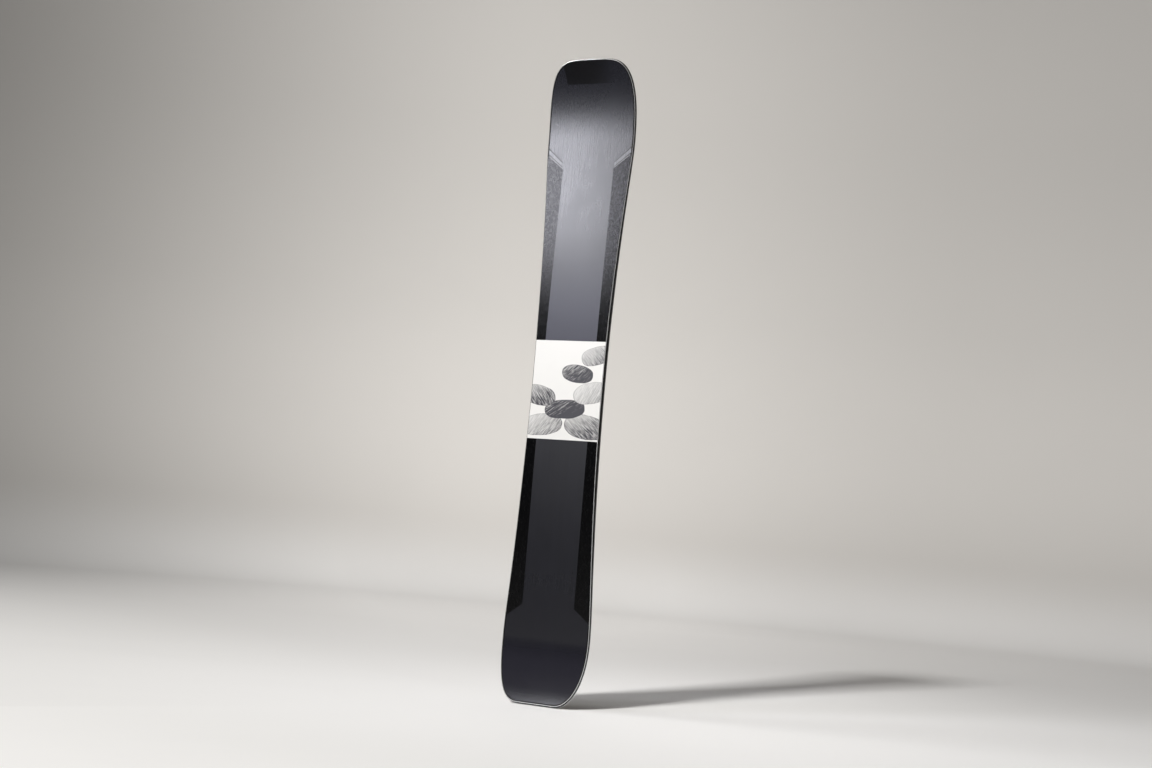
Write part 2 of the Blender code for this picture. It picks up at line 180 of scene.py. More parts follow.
@dataclass(frozen=True)
class SkiForm:
    """Outline, side profile and layer heights that every piece of the ski shares, in metres."""

    length: float = 0.990
    tip_width: float = 0.1445
    waist_width: float = 0.117
    tail_width: float = 0.1412
    waist_place: float = 0.485
    tip_corner_length: float = 0.1275
    tail_corner_length: float = 0.102
    tip_flat_width: float = 0.014
    tail_flat_width: float = 0.056
    tip_squareness: float = 3.7
    tail_squareness: float = 2.4
    sidecut_blend: float = 16.0
    tip_rise: float = 0.026
    tip_curve_length: float = 0.133
    tail_rise: float = 0.0205
    tail_curve_length: float = 0.098
    camber: float = 0.001
    waist_thickness: float = 0.0117
    end_thickness: float = 0.0070
    platform_start: float = 0.397
    platform_end: float = 0.549
    rim_width: float = 0.0010
    topsheet_depth: float = 0.0009
    alloy_depth: float = 0.0014
    row_spacing: float = 0.003
    dense_steps: int = 400
    least_gap: float = 0.0004

    @property
    def tip_widest(self) -> float:
        """Place of the widest point at the tip."""
        return self.length - self.tip_corner_length

    @property
    def tail_widest(self) -> float:
        """Place of the widest point at the tail."""
        return self.tail_corner_length

    @cached_property
    def shift(self) -> float:
        """Distance in Y that centres the bent ski's bounding box on the origin."""
        high = self.thickness(self.length)
        return -self.bent_from_contact(0.0, self.length - self.rim_width, high).y / 2

    def plateau(self, place: float) -> float:
        """0 beyond the two contact lines, 1 on the binding platform, smooth between.

        Args:
            place: Place along the ski.

        Returns:
            The share.
        """
        tail_contact = self.tail_curve_length
        tip_contact = self.length - self.tip_curve_length
        from_tail = ease((place - tail_contact) / (self.platform_start - tail_contact))
        from_tip = ease((tip_contact - place) / (tip_contact - self.platform_end))
        return min(from_tail, from_tip)

    def thickness(self, place: float) -> float:
        """Total thickness of the sandwich at a place."""
        return self.end_thickness + (self.waist_thickness - self.end_thickness) * self.plateau(place)

    def alloy_low(self, place: float) -> float:
        """Underside of the metal sheet, where the sidewalls end."""
        return self.thickness(place) - self.alloy_depth

    def alloy_high(self, place: float) -> float:
        """Top of the metal sheet, on which the topsheet lies."""
        return self.thickness(place) - self.topsheet_depth

    def surface_depth(self, place: float) -> float:
        """Y of the running surface, 0 at the contact lines.

        Args:
            place: Place along the ski.

        Returns:
            Y of the surface there.
        """
        tip = max(place - self.length + self.tip_curve_length, 0.0) / self.tip_curve_length
        tail = max(self.tail_curve_length - place, 0.0) / self.tail_curve_length
        return -(self.tip_rise * tip * tip + self.tail_rise * tail * tail + self.camber * self.plateau(place))

    def bent_from_contact(self, across: float, place: float, height: float) -> Vector:
        """Point of the bent ski, with Y counted from its contact lines.

        Args:
            across: Distance from the middle, to the right.
            place: Place along the ski.
            height: Height above the running surface.

        Returns:
            The point in space.
        """
        step = 1e-5
        slope = (self.surface_depth(place + step) - self.surface_depth(place - step)) / (2 * step)
        reach = math.hypot(1.0, slope)
        return Vector((across, self.surface_depth(place) - height / reach, place + height * slope / reach))

    def bend(self, across: float, place: float, height: float) -> Vector:
        """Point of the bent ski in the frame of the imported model.

        Args:
            across: Distance from the middle, to the right.
            place: Place along the ski.
            height: Height above the running surface.

        Returns:
            The point in space.
        """
        return self.bent_from_contact(across, place, height) + Vector((0.0, self.shift, 0.0))

    def corner(self, share: float, flat: float, widest: float, squareness: float) -> float:
        """Half width in a rounded end.

        Args:
            share: 0 at the widest place and 1 at the end.
            flat: Half width of the straight part at the end.
            widest: Half width at the widest place.
            squareness: Exponent of the rounded corner.

        Returns:
            The half width.
        """
        rounded = max(1.0 - share ** squareness, 0.0) ** (1.0 / squareness)
        return flat + (widest - flat) * rounded

    def sidecut(self, share: float) -> float:
        """Growth of the half width from 0 at the waist to 1 at the widest place."""
        blend = 2.0 / self.sidecut_blend
        return share * share * (1.0 + blend - blend * share ** self.sidecut_blend)

    def half_width(self, place: float) -> float:
        """Half width of the outline at a place along the ski.

        Args:
            place: Place along the ski.

        Returns:
            The half width.
        """
        waist, tip, tail = self.waist_width / 2, self.tip_width / 2, self.tail_width / 2
        if place > self.tip_widest:
            share = min((place - self.tip_widest) / self.tip_corner_length, 1.0)
            return self.corner(share, self.tip_flat_width / 2, tip, self.tip_squareness)
        if place < self.tail_widest:
            share = min((self.tail_widest - place) / self.tail_corner_length, 1.0)
            return self.corner(share, self.tail_flat_width / 2, tail, self.tail_squareness)
        if place > self.waist_place:
            return waist + (tip - waist) * self.sidecut(
                (place - self.waist_place) / (self.tip_widest - self.waist_place))
        return waist + (tail - waist) * self.sidecut(
            (self.waist_place - place) / (self.waist_place - self.tail_widest))

    def dense_places(self) -> list[float]:
        """Closely spaced places from tail to tip, closest at the two ends.

        Returns:
            The places in rising order.
        """
        turns = [math.pi / 2 * step / self.dense_steps for step in range(self.dense_steps + 1)]
        tail = [self.tail_widest - self.tail_corner_length * math.sin(turn) for turn in reversed(turns)]
        tip = [self.tip_widest + self.tip_corner_length * math.sin(turn) for turn in turns]
        span = self.tip_widest - self.tail_widest
        middle = [self.tail_widest + span * step / self.dense_steps for step in range(1, self.dense_steps)]
        return tail + middle + tip

    @cached_property
    def outline(self) -> Line:
        """Right half of the outline, from the tail's flat to the tip's flat, in even steps along it.

        Returns:
            The points.
        """
        dense = [Vector((self.half_width(place), place)) for place in self.dense_places()]
        runs = [0.0]
        for first, second in zip(dense, dense[1:]):
            runs.append(runs[-1] + (second - first).length)
        count = round(runs[-1] / self.row_spacing)
        points, index = [], 0
        for step in range(count + 1):
            target = runs[-1] * step / count
            while index < len(dense) - 2 and runs[index + 1] < target:
                index += 1
            share = (target - runs[index]) / (runs[index + 1] - runs[index])
            points.append(dense[index].lerp(dense[index + 1], min(share, 1.0)))
        return points

    def inset(self, distance: float) -> Line:
        """The right half of the outline moved inwards by one distance all round, point for point.

        Args:
            distance: Distance that it moves inwards.

        Returns:
            The moved points.
        """
        points = self.outline
        before = Vector((-points[0].x, points[0].y))
        after = Vector((-points[-1].x, points[-1].y))
        padded = [before] + points + [after]
        moved = []
        for previous, point, following in zip(padded, padded[1:], padded[2:]):
            arriving = (point - previous).normalized()
            leaving = (following - point).normalized()
            inward_one = Vector((-arriving.y, arriving.x))
            inward_two = Vector((-leaving.y, leaving.x))
            mitre = (inward_one + inward_two).normalized()
            moved.append(point + mitre * (distance / mitre.dot(inward_one)))
        return moved

    def span(self, distance: float, start: float | None = None, end: float | None = None) -> Line:
        """Stretch of an inset outline, cut square where a start or an end place is given.

        Args:
            distance: Inset from the outline.
            start: Place where the stretch starts, or None to start at the tail's flat.
            end: Place where the stretch ends, or None to end at the tip's flat.

        Returns:
            The points, as many for every inset.
        """
        moved = self.inset(distance)
        kept = [point for base, point in zip(self.outline, moved)
                if (start is None or base.y > start + self.least_gap)
                and (end is None or base.y < end - self.least_gap)]
        if start is not None:
            kept.insert(0, point_at(moved, start))
        if end is not None:
            kept.append(point_at(moved, end))
        return kept


def add_object(name: str, data: Any) -> Object:
    """New object in the scene that shows the data.

    Args:
        name: Name of the object.
        data: Mesh, light or camera that it shows.

    Returns:
        The object.
    """
    thing = bpy.data.objects.new(name, data)
    bpy.context.scene.collection.objects.link(thing)
    return thing


def add_mesh(name: str, shape: bmesh.types.BMesh) -> Object:
    """New object from a shape, which is freed.

    Args:
        name: Name of the object and its mesh.
        shape: The shape.

    Returns:
        The object, shaded smooth.
    """
    mesh = bpy.data.meshes.new(name)
    shape.to_mesh(mesh)
    shape.free()
    mesh.shade_smooth()
    return add_object(name, mesh)


@dataclass
class Workshop:
    """Turns rows of points into closed meshes that ride on the ski's body."""

    form: SkiForm
    sharp_angle: float = math.radians(30)

    def solid(self, name: str, rows: Sequence[Sequence[Vector]], folded: bool = True) -> Object:
        """Closed solid through rows of points, each row one loop round it.

        Args:
            name: Name of the piece.
            rows: Loops with the same number of points.
            folded: Whether the end faces join each point to its opposite across the loop.

        Returns:
            The mesh object.
        """
        size = len(rows[0])
        shape = bmesh.new()
        corners = [[shape.verts.new(point) for point in row] for row in rows]
        for row, following in zip(corners, corners[1:]):
            for number in range(size):
                beside = (number + 1) % size
                shape.faces.new((row[number], row[beside], following[beside], following[number]))
        for row in (corners[0], corners[-1]):
            if folded:
                for number in range(size // 2 - 1):
                    shape.faces.new((row[number], row[number + 1], row[size - 2 - number], row[size - 1 - number]))
            else:
                shape.faces.new(row)
        bmesh.ops.recalc_face_normals(shape, faces=shape.faces)
        piece = add_mesh(name, shape)
        piece.data.set_sharp_from_angle(angle=self.sharp_angle)
        return piece

    def rows(self, lines: Profile, sign: int = 1) -> list[list[Vector]]:
        """Loops of the bent ski's points, one for each place on the lines.

        Args:
            lines: Lines and heights round the loop.
            sign: 1 to keep the lines' side, or -1 to mirror them.

        Returns:
            The loops.
        """
        return [[self.form.bend(sign * line[index].x, line[index].y, value_at(height, line[index].y))
                 for line, height in lines] for index in range(len(lines[0][0]))]

    def strip(self, name: str, left: Profile, right: Profile) -> Object:
        """Sheet between a left and a right profile.

        Args:
            name: Name of the piece.
            left: Lines and heights of the left side, from its underside up.
            right: Lines and heights of the right side, from its underside up.

        Returns:
            The mesh object.
        """
        return self.solid(name, self.rows(left + right[::-1]))

    def across(self, name: str, section: Section, start: float | None = None, end: float | None = None) -> Object:
        """Layer from edge to edge of the ski.

        Args:
            name: Name of the piece.
            section: Insets and heights of its side, from its underside up.
            start: Place where it starts, or None for the tail.
            end: Place where it ends, or None for the tip.

        Returns:
            The mesh object.
        """
        right = [(self.form.span(inset, start, end), height) for inset, height in section]
        left = [(mirrored(line), height) for line, height in right]
        return self.strip(name, left, right)

    def wrap(self, end: SkiEnd, place: float) -> Callable[[float], Line]:
        """Path round one end of the ski, from left to right.

        Args:
            end: End of the ski.
            place: Place where the path starts and ends.

        Returns:
            Function from an inset to the points of the path there.
        """
        def path(inset: float) -> Line:
            """Points of the path at one inset.

            Args:
                inset: Inset from the outline.

            Returns:
                The points.
            """
            if end is SkiEnd.FRONT:
                right = self.form.span(inset, start=place)
                return mirrored(right) + right[::-1]
            right = self.form.span(inset, end=place)
            return mirrored(right[::-1]) + right

        return path

    def rail(self, name: str, path: Callable[[float], Line], section: Section, side: Side = Side.RIGHT) -> Object:
        """Strip of one section along a path.

        Args:
            name: Name of the piece.
            path: Function from an inset to the points of the path there.
            section: Insets and heights round the strip.
            side: Side on which the path is drawn.

        Returns:
            The mesh object.
        """
        lines = [(path(inset), height) for inset, height in section]
        return self.solid(name, self.rows(lines, side.value), folded=False)

    def dress(self, piece: Object, finish: Material, slot: Slot, *nodes: str) -> None:
        """Give a new piece its material and its place in the frame, and report it.

        Args:
            piece: The new mesh object.
            finish: Its material.
            slot: Material slot of the record that the finish stands for; it is not used.
            nodes: CAD nodes that the piece replaces.
        """
        piece.data.materials.append(finish)
        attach(piece, BODY)
        if nodes:
            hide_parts(*nodes)
        LOG.info("piece %s, %d faces, replaces %s", piece.name, len(piece.data.polygons), ", ".join(nodes) or "none")


class NodeSheet:
    """Short way to write a shader node tree."""

    MIX_SHARE, MIX_FIRST, MIX_SECOND, MIX_RESULT = 0, 6, 7, 2

    def __init__(self, tree: NodeTree) -> None:
        """Keep the tree that the nodes go into."""
        self.tree = tree

    def feed(self, socket: NodeSocket, value: Any) -> None:
        """Link a socket to another one, or set it to a plain value.

        Args:
            socket: The input socket.
            value: Another socket, or the plain value.
        """
        if isinstance(value, NodeSocket):
            self.tree.links.new(value, socket)
        else:
            socket.default_value = value

    def fill(self, node: Node, inputs: dict[str, Any]) -> None:
        """Feed a node's sockets by name, with underscores for spaces."""
        for name, value in inputs.items():
            self.feed(node.inputs[name.replace("_", " ")], value)

    def add(self, kind: str, **inputs: Any) -> Node:
        """Add a node.

        Args:
            kind: Blender's type name, without the leading ShaderNode.
            inputs: Sockets by name, with underscores for spaces, each given a value or another socket.

        Returns:
            The node.
        """
        node = self.tree.nodes.new("ShaderNode" + kind)
        self.fill(node, inputs)
        return node

    def use(self, group: NodeTree, **inputs: Any) -> Any:
        """Add a node group.

        Args:
            group: The group.
            inputs: Its inputs by name, each given a value or another socket.

        Returns:
            Its outputs.
        """
        node = self.add("Group")
        node.node_tree = group
        self.fill(node, inputs)
        return node.outputs

    def math(self, operation: str, *values: Any, clamp: bool = False) -> NodeSocket:
        """Result of a Math node.

        Args:
            operation: Name of the operation.
            values: Its operands, numbers or sockets.
            clamp: Whether the result is held between 0 and 1.

        Returns:
            The output socket.
        """
        node = self.add("Math")
        node.operation = operation
        node.use_clamp = clamp
        for socket, value in zip(node.inputs, values):
            self.feed(socket, value)
        return node.outputs[0]

    def times(self, *values: Any) -> Any:
        """Product of numbers or sockets."""
        return reduce(lambda first, second: self.math("MULTIPLY", first, second), values)

    def plus(self, *values: Any) -> Any:
        """Sum of numbers or sockets."""
        return reduce(lambda first, second: self.math("ADD", first, second), values)

    def minus(self, first: Any, second: Any) -> NodeSocket:
        """Difference of two numbers or sockets."""
        return self.math("SUBTRACT", first, second)

    def ramp(self, value: Any, low: float, high: float, start: float = 0.0, end: float = 1.0,
             smooth: bool = True) -> NodeSocket:
        """Value mapped from one range to another and held inside it.

        Args:
            value: Number or socket to map.
            low: Start of the range it comes from.
            high: End of the range it comes from.
            start: Result at the start.
            end: Result at the end.
            smooth: Whether the result eases in and out.

        Returns:
            The output socket.
        """
        node = self.add("MapRange", Value=value, From_Min=low, From_Max=high, To_Min=start, To_Max=end)
        node.interpolation_type = "SMOOTHSTEP" if smooth else "LINEAR"
        return node.outputs[0]

    def fall(self, value: Any, low: float, high: float) -> NodeSocket:
        """1 up to a value, 0 from a higher one on, and eased between."""
        return self.ramp(value, low, high, 1.0, 0.0)

    def mix(self, share: Any, first: Any, second: Any) -> NodeSocket:
        """Colour between two colours.

        Args:
            share: Share of the second colour.
            first: Colour at share 0.
            second: Colour at share 1.

        Returns:
            The output socket.
        """
        node = self.add("Mix")
        node.data_type = "RGBA"
        for number, value in ((self.MIX_SHARE, share), (self.MIX_FIRST, first), (self.MIX_SECOND, second)):
            self.feed(node.inputs[number], value)
        return node.outputs[self.MIX_RESULT]

    def noise(self, spot: Any, **inputs: Any) -> NodeSocket:
        """Value of a noise at a spot, with the node's other inputs by name."""
        return self.add("TexNoise", Vector=spot, **inputs).outputs[0]

    def place(self) -> Any:
        """Object coordinates X, Y and Z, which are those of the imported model."""
        return self.add("SeparateXYZ", Vector=self.add("TexCoord").outputs["Object"]).outputs

    def vector(self, x: Any, y: Any, z: Any) -> NodeSocket:
        """Vector from three numbers or sockets."""
        return self.add("CombineXYZ", X=x, Y=y, Z=z).outputs[0]

    def turned(self, first: Any, second: Any, angle: Any) -> tuple[Any, Any]:
        """Distances along and beside a direction, from those along two square axes.

        Args:
            first: Distance along the first axis.
            second: Distance along the second axis.
            angle: Angle of the direction from the first axis.

        Returns:
            The distance along the direction and the one beside it.
        """
        cosine, sine = self.math("COSINE", angle), self.math("SINE", angle)
        return (self.plus(self.times(first, cosine), self.times(second, sine)),
                self.minus(self.times(second, cosine), self.times(first, sine)))


class Effects:
    """Shader node groups that several materials share.

    Reaches are the values between which something eases from 0 to 1.
    """

    STREAK_REACH: Pair = (0.35, 0.65)
    CLOTH_REACH: Pair = (-0.25, 0.25)
    SMUDGE_REACH: Pair = (0.40, 0.68)
    SCRATCH_REACH: Pair = (0.72, 0.76)
    SCRATCH_TURN: Triple = (0.0, 0.35, 0.0)
    SCRATCH_SCALE: Triple = (900.0, 900.0, 9.0)
    PEBBLE_ROUNDNESS: float = 2.4
    PEBBLE_RAGGEDNESS: float = 0.22
    PEBBLE_EDGE: Pair = (0.985, 1.015)
    PEBBLE_OUTLINE: Pair = (0.93, 0.985)
    OUTLINE_TONE: float = 0.30
    STROKE_SCALE: Pair = (70.0, 900.0)
    STROKE_REACH: Pair = (0.36, 0.62)
    STROKE_TONES: Pair = (0.45, 1.15)
    FORM_REACH: Pair = (-1.4, 1.2)
    FORM_TONES: Pair = (0.40, 1.0)

    def __init__(self) -> None:
        """Build every group once."""
        self.grain = self.build_grain()
        self.weave = self.build_weave()
        self.marks = self.build_marks()
        self.band = self.build_band()
        self.pebble = self.build_pebble()

    @staticmethod
    def group(name: str, outputs: Sequence[str], **inputs: float) -> tuple[NodeSheet, Any, Any]:
        """Start a node group.

        Args:
            name: Name of the group.
            outputs: Names of its number outputs.
            inputs: Names and default values of its number inputs.

        Returns:
            The sheet to write it on, the group's inputs and its outputs.
        """
        tree = bpy.data.node_groups.new(name, "ShaderNodeTree")
        for label, value in inputs.items():
            socket = tree.interface.new_socket(name=label, in_out="INPUT", socket_type="NodeSocketFloat")
            socket.default_value = value
        for label in outputs:
            tree.interface.new_socket(name=label, in_out="OUTPUT", socket_type="NodeSocketFloat")
        return NodeSheet(tree), tree.nodes.new("NodeGroupInput").outputs, tree.nodes.new("NodeGroupOutput").inputs

    def build_grain(self) -> NodeTree:
        """Fine lines along the ski: Across and Along are features per metre.

        Returns:
            The group.
        """
        sheet, given, result = self.group("lengthwise_grain", ("Grain", "Streaks"), Across=900.0, Along=15.0,
                                          Contrast=1.0)
        x, y, z = sheet.place()
        spot = sheet.vector(sheet.times(x, given["Across"]), sheet.times(y, given["Across"]),
                            sheet.times(z, given["Along"]))
        fine = sheet.noise(spot, Scale=1.0, Detail=3.0, Roughness=0.6)
        broad = sheet.noise(spot, Scale=0.17, Detail=2.0, Roughness=0.5)
        centred = sheet.times(sheet.minus(fine, 0.5), given["Contrast"])
        sheet.feed(result["Grain"], sheet.math("ADD", centred, 0.5, clamp=True))
        sheet.feed(result["Streaks"], sheet.ramp(broad, *self.STREAK_REACH))
        return sheet.tree

    def build_weave(self) -> NodeTree:
        """Plain weave of a fibre sheet: Threads is the number of threads per metre.

        Returns:
            The group.
        """
        sheet, given, result = self.group("fibre_weave", ("Cloth", "Height"), Threads=500.0)
        x, _, z = sheet.place()
        turn = sheet.times(given["Threads"], math.pi)
        warp, weft = [sheet.math("SINE", sheet.times(way, turn)) for way in (x, z)]
        crossed = sheet.times(warp, weft)
        sheet.feed(result["Cloth"], sheet.ramp(crossed, *self.CLOTH_REACH))
        sheet.feed(result["Height"], sheet.math("ABSOLUTE", crossed))
        return sheet.tree

    def build_marks(self) -> NodeTree:
        """Faint cloudy smudges and rare fine scratches that handling leaves.

        Returns:
            The group.
        """
        sheet, given, result = self.group("handling_marks", ("Smudge", "Scratch"), Size=14.0, Scratches=1.0)
        spot = sheet.add("TexCoord").outputs["Object"]
        cloud = sheet.noise(spot, Scale=given["Size"], Detail=4.0, Roughness=0.6, Distortion=0.6)
        drawn_out = sheet.add("Mapping", Vector=spot, Rotation=self.SCRATCH_TURN, Scale=self.SCRATCH_SCALE)
        line = sheet.noise(drawn_out.outputs[0], Scale=1.0, Detail=1.0)
        sheet.feed(result["Smudge"], sheet.ramp(cloud, *self.SMUDGE_REACH))
        sheet.feed(result["Scratch"], sheet.times(sheet.ramp(line, *self.SCRATCH_REACH), given["Scratches"]))
        return sheet.tree

    def build_band(self) -> NodeTree:
        """Printed band: 1 where Value lies between Low and High, with edges of the given Softness.

        Returns:
            The group.
        """
        sheet, given, result = self.group("printed_band", ("Mask",), Value=0.0, Low=0.0, High=1.0, Softness=0.0002)
        rise, fall = [sheet.math("DIVIDE", sheet.minus(given[high], given[low]), given["Softness"])
                      for high, low in (("Value", "Low"), ("High", "Value"))]
        sheet.feed(result["Mask"], sheet.math("ADD", sheet.math("MINIMUM", rise, fall), 0.5, clamp=True))
        return sheet.tree

    def build_pebble(self) -> NodeTree:
        """One pencil-shaded pebble drawn over the tone below it: 0 is bare paper and 1 is graphite.

        Returns:
            The group.
        """
        sheet, given, result = self.group("pencil_pebble", ("Tone",), Below=0.0, X=0.0, Z=0.0, Width=0.03,
                                          Height=0.02, Turn=0.0, Tone=0.5, Hatch=0.6)
        x, _, z = sheet.place()
        wobble = sheet.noise(sheet.vector(x, given["Tone"], z), Scale=55.0, Detail=2.0)
        from_middle = sheet.minus(x, given["X"]), sheet.minus(z, given["Z"])
        along, beside = sheet.turned(*from_middle, given["Turn"])
        across_share = sheet.math("DIVIDE", along, given["Width"])
        up_share = sheet.math("DIVIDE", beside, given["Height"])
        powers = [sheet.math("POWER", sheet.math("ABSOLUTE", share), self.PEBBLE_ROUNDNESS)
                  for share in (across_share, up_share)]
        reach = sheet.math("SQRT", sheet.plus(*powers))
        ragged = sheet.plus(reach, sheet.times(sheet.minus(wobble, 0.5), self.PEBBLE_RAGGEDNESS))
        mask = sheet.fall(ragged, *self.PEBBLE_EDGE)
        outline = sheet.times(sheet.ramp(ragged, *self.PEBBLE_OUTLINE), mask)
        stroke, thread = sheet.turned(*from_middle, given["Hatch"])
        spot = sheet.vector(sheet.times(stroke, self.STROKE_SCALE[0]), given["Tone"],
                            sheet.times(thread, self.STROKE_SCALE[1]))
        paper_tooth = sheet.noise(spot, Scale=1.0, Detail=2.0, Roughness=0.7)
        tooth = sheet.ramp(paper_tooth, *self.STROKE_REACH, *self.STROKE_TONES)
        form = sheet.ramp(sheet.minus(across_share, up_share), *self.FORM_REACH, *self.FORM_TONES, smooth=False)
        tone = sheet.times(given["Tone"], sheet.times(tooth, form))
        inked = sheet.math("ADD", tone, sheet.times(outline, self.OUTLINE_TONE), clamp=True)
        kept = sheet.times(given["Below"], sheet.minus(1.0, mask))
        sheet.feed(result["Tone"], sheet.plus(kept, sheet.times(inked, mask)))
        return sheet.tree


def shade(colour: Colour, factor: float = 1.0) -> tuple[float, float, float, float]:
    """Colour made darker or lighter, with a full alpha."""
    return (colour[0] * factor, colour[1] * factor, colour[2] * factor, 1.0)


class Surface(NodeSheet):
    """Node tree of a new material with a Principled shader."""

    def __init__(self, name: str, roughness: float, metallic: float = 0.0, specular: float = 0.5) -> None:
        """Start the material.

        Args:
            name: Name of the material.
            roughness: Its plain roughness.
            metallic: Its plain metallic value.
            specular: Its specular level.
        """
        self.material = bpy.data.materials.new(name)
        self.material.use_nodes = True
        super().__init__(self.material.node_tree)
        self.shader = self.tree.nodes["Principled BSDF"]
        self.fill(self.shader, {"Roughness": roughness, "Metallic": metallic, "Specular_IOR_Level": specular})

    def shades(self, share: Any, colour: Colour, tones: Pair) -> NodeSocket:
        """Colour that varies between two tones of one colour."""
        return self.mix(share, shade(colour, tones[0]), shade(colour, tones[1]))

    def swing(self, value: Any, reach: Pair, middle: float, around: Pair) -> NodeSocket:
        """Number that varies evenly round a middle.

        Args:
            value: Value that it follows.
            reach: Range of that value.
            middle: The middle.
            around: What is added to the middle at the two ends of the range.

        Returns:
            The output socket.
        """
        return self.ramp(value, *reach, middle + around[0], middle + around[1], smooth=False)

    def finish(self, colour: Any, roughness: Any, height: Any, relief: Pair) -> Material:
        """Feed the shader and hand the material over.

        Args:
            colour: Base colour.
            roughness: Roughness.
            height: Height of the relief, between 0 and 1.
            relief: Depth of the relief in metres, and strength of the bump.

        Returns:
            The material.
        """
        bump = self.add("Bump", Distance=relief[0], Strength=relief[1], Height=height)
        self.fill(self.shader, {"Base_Color": colour, "Roughness": roughness, "Normal": bump.outputs[0]})
        return self.material


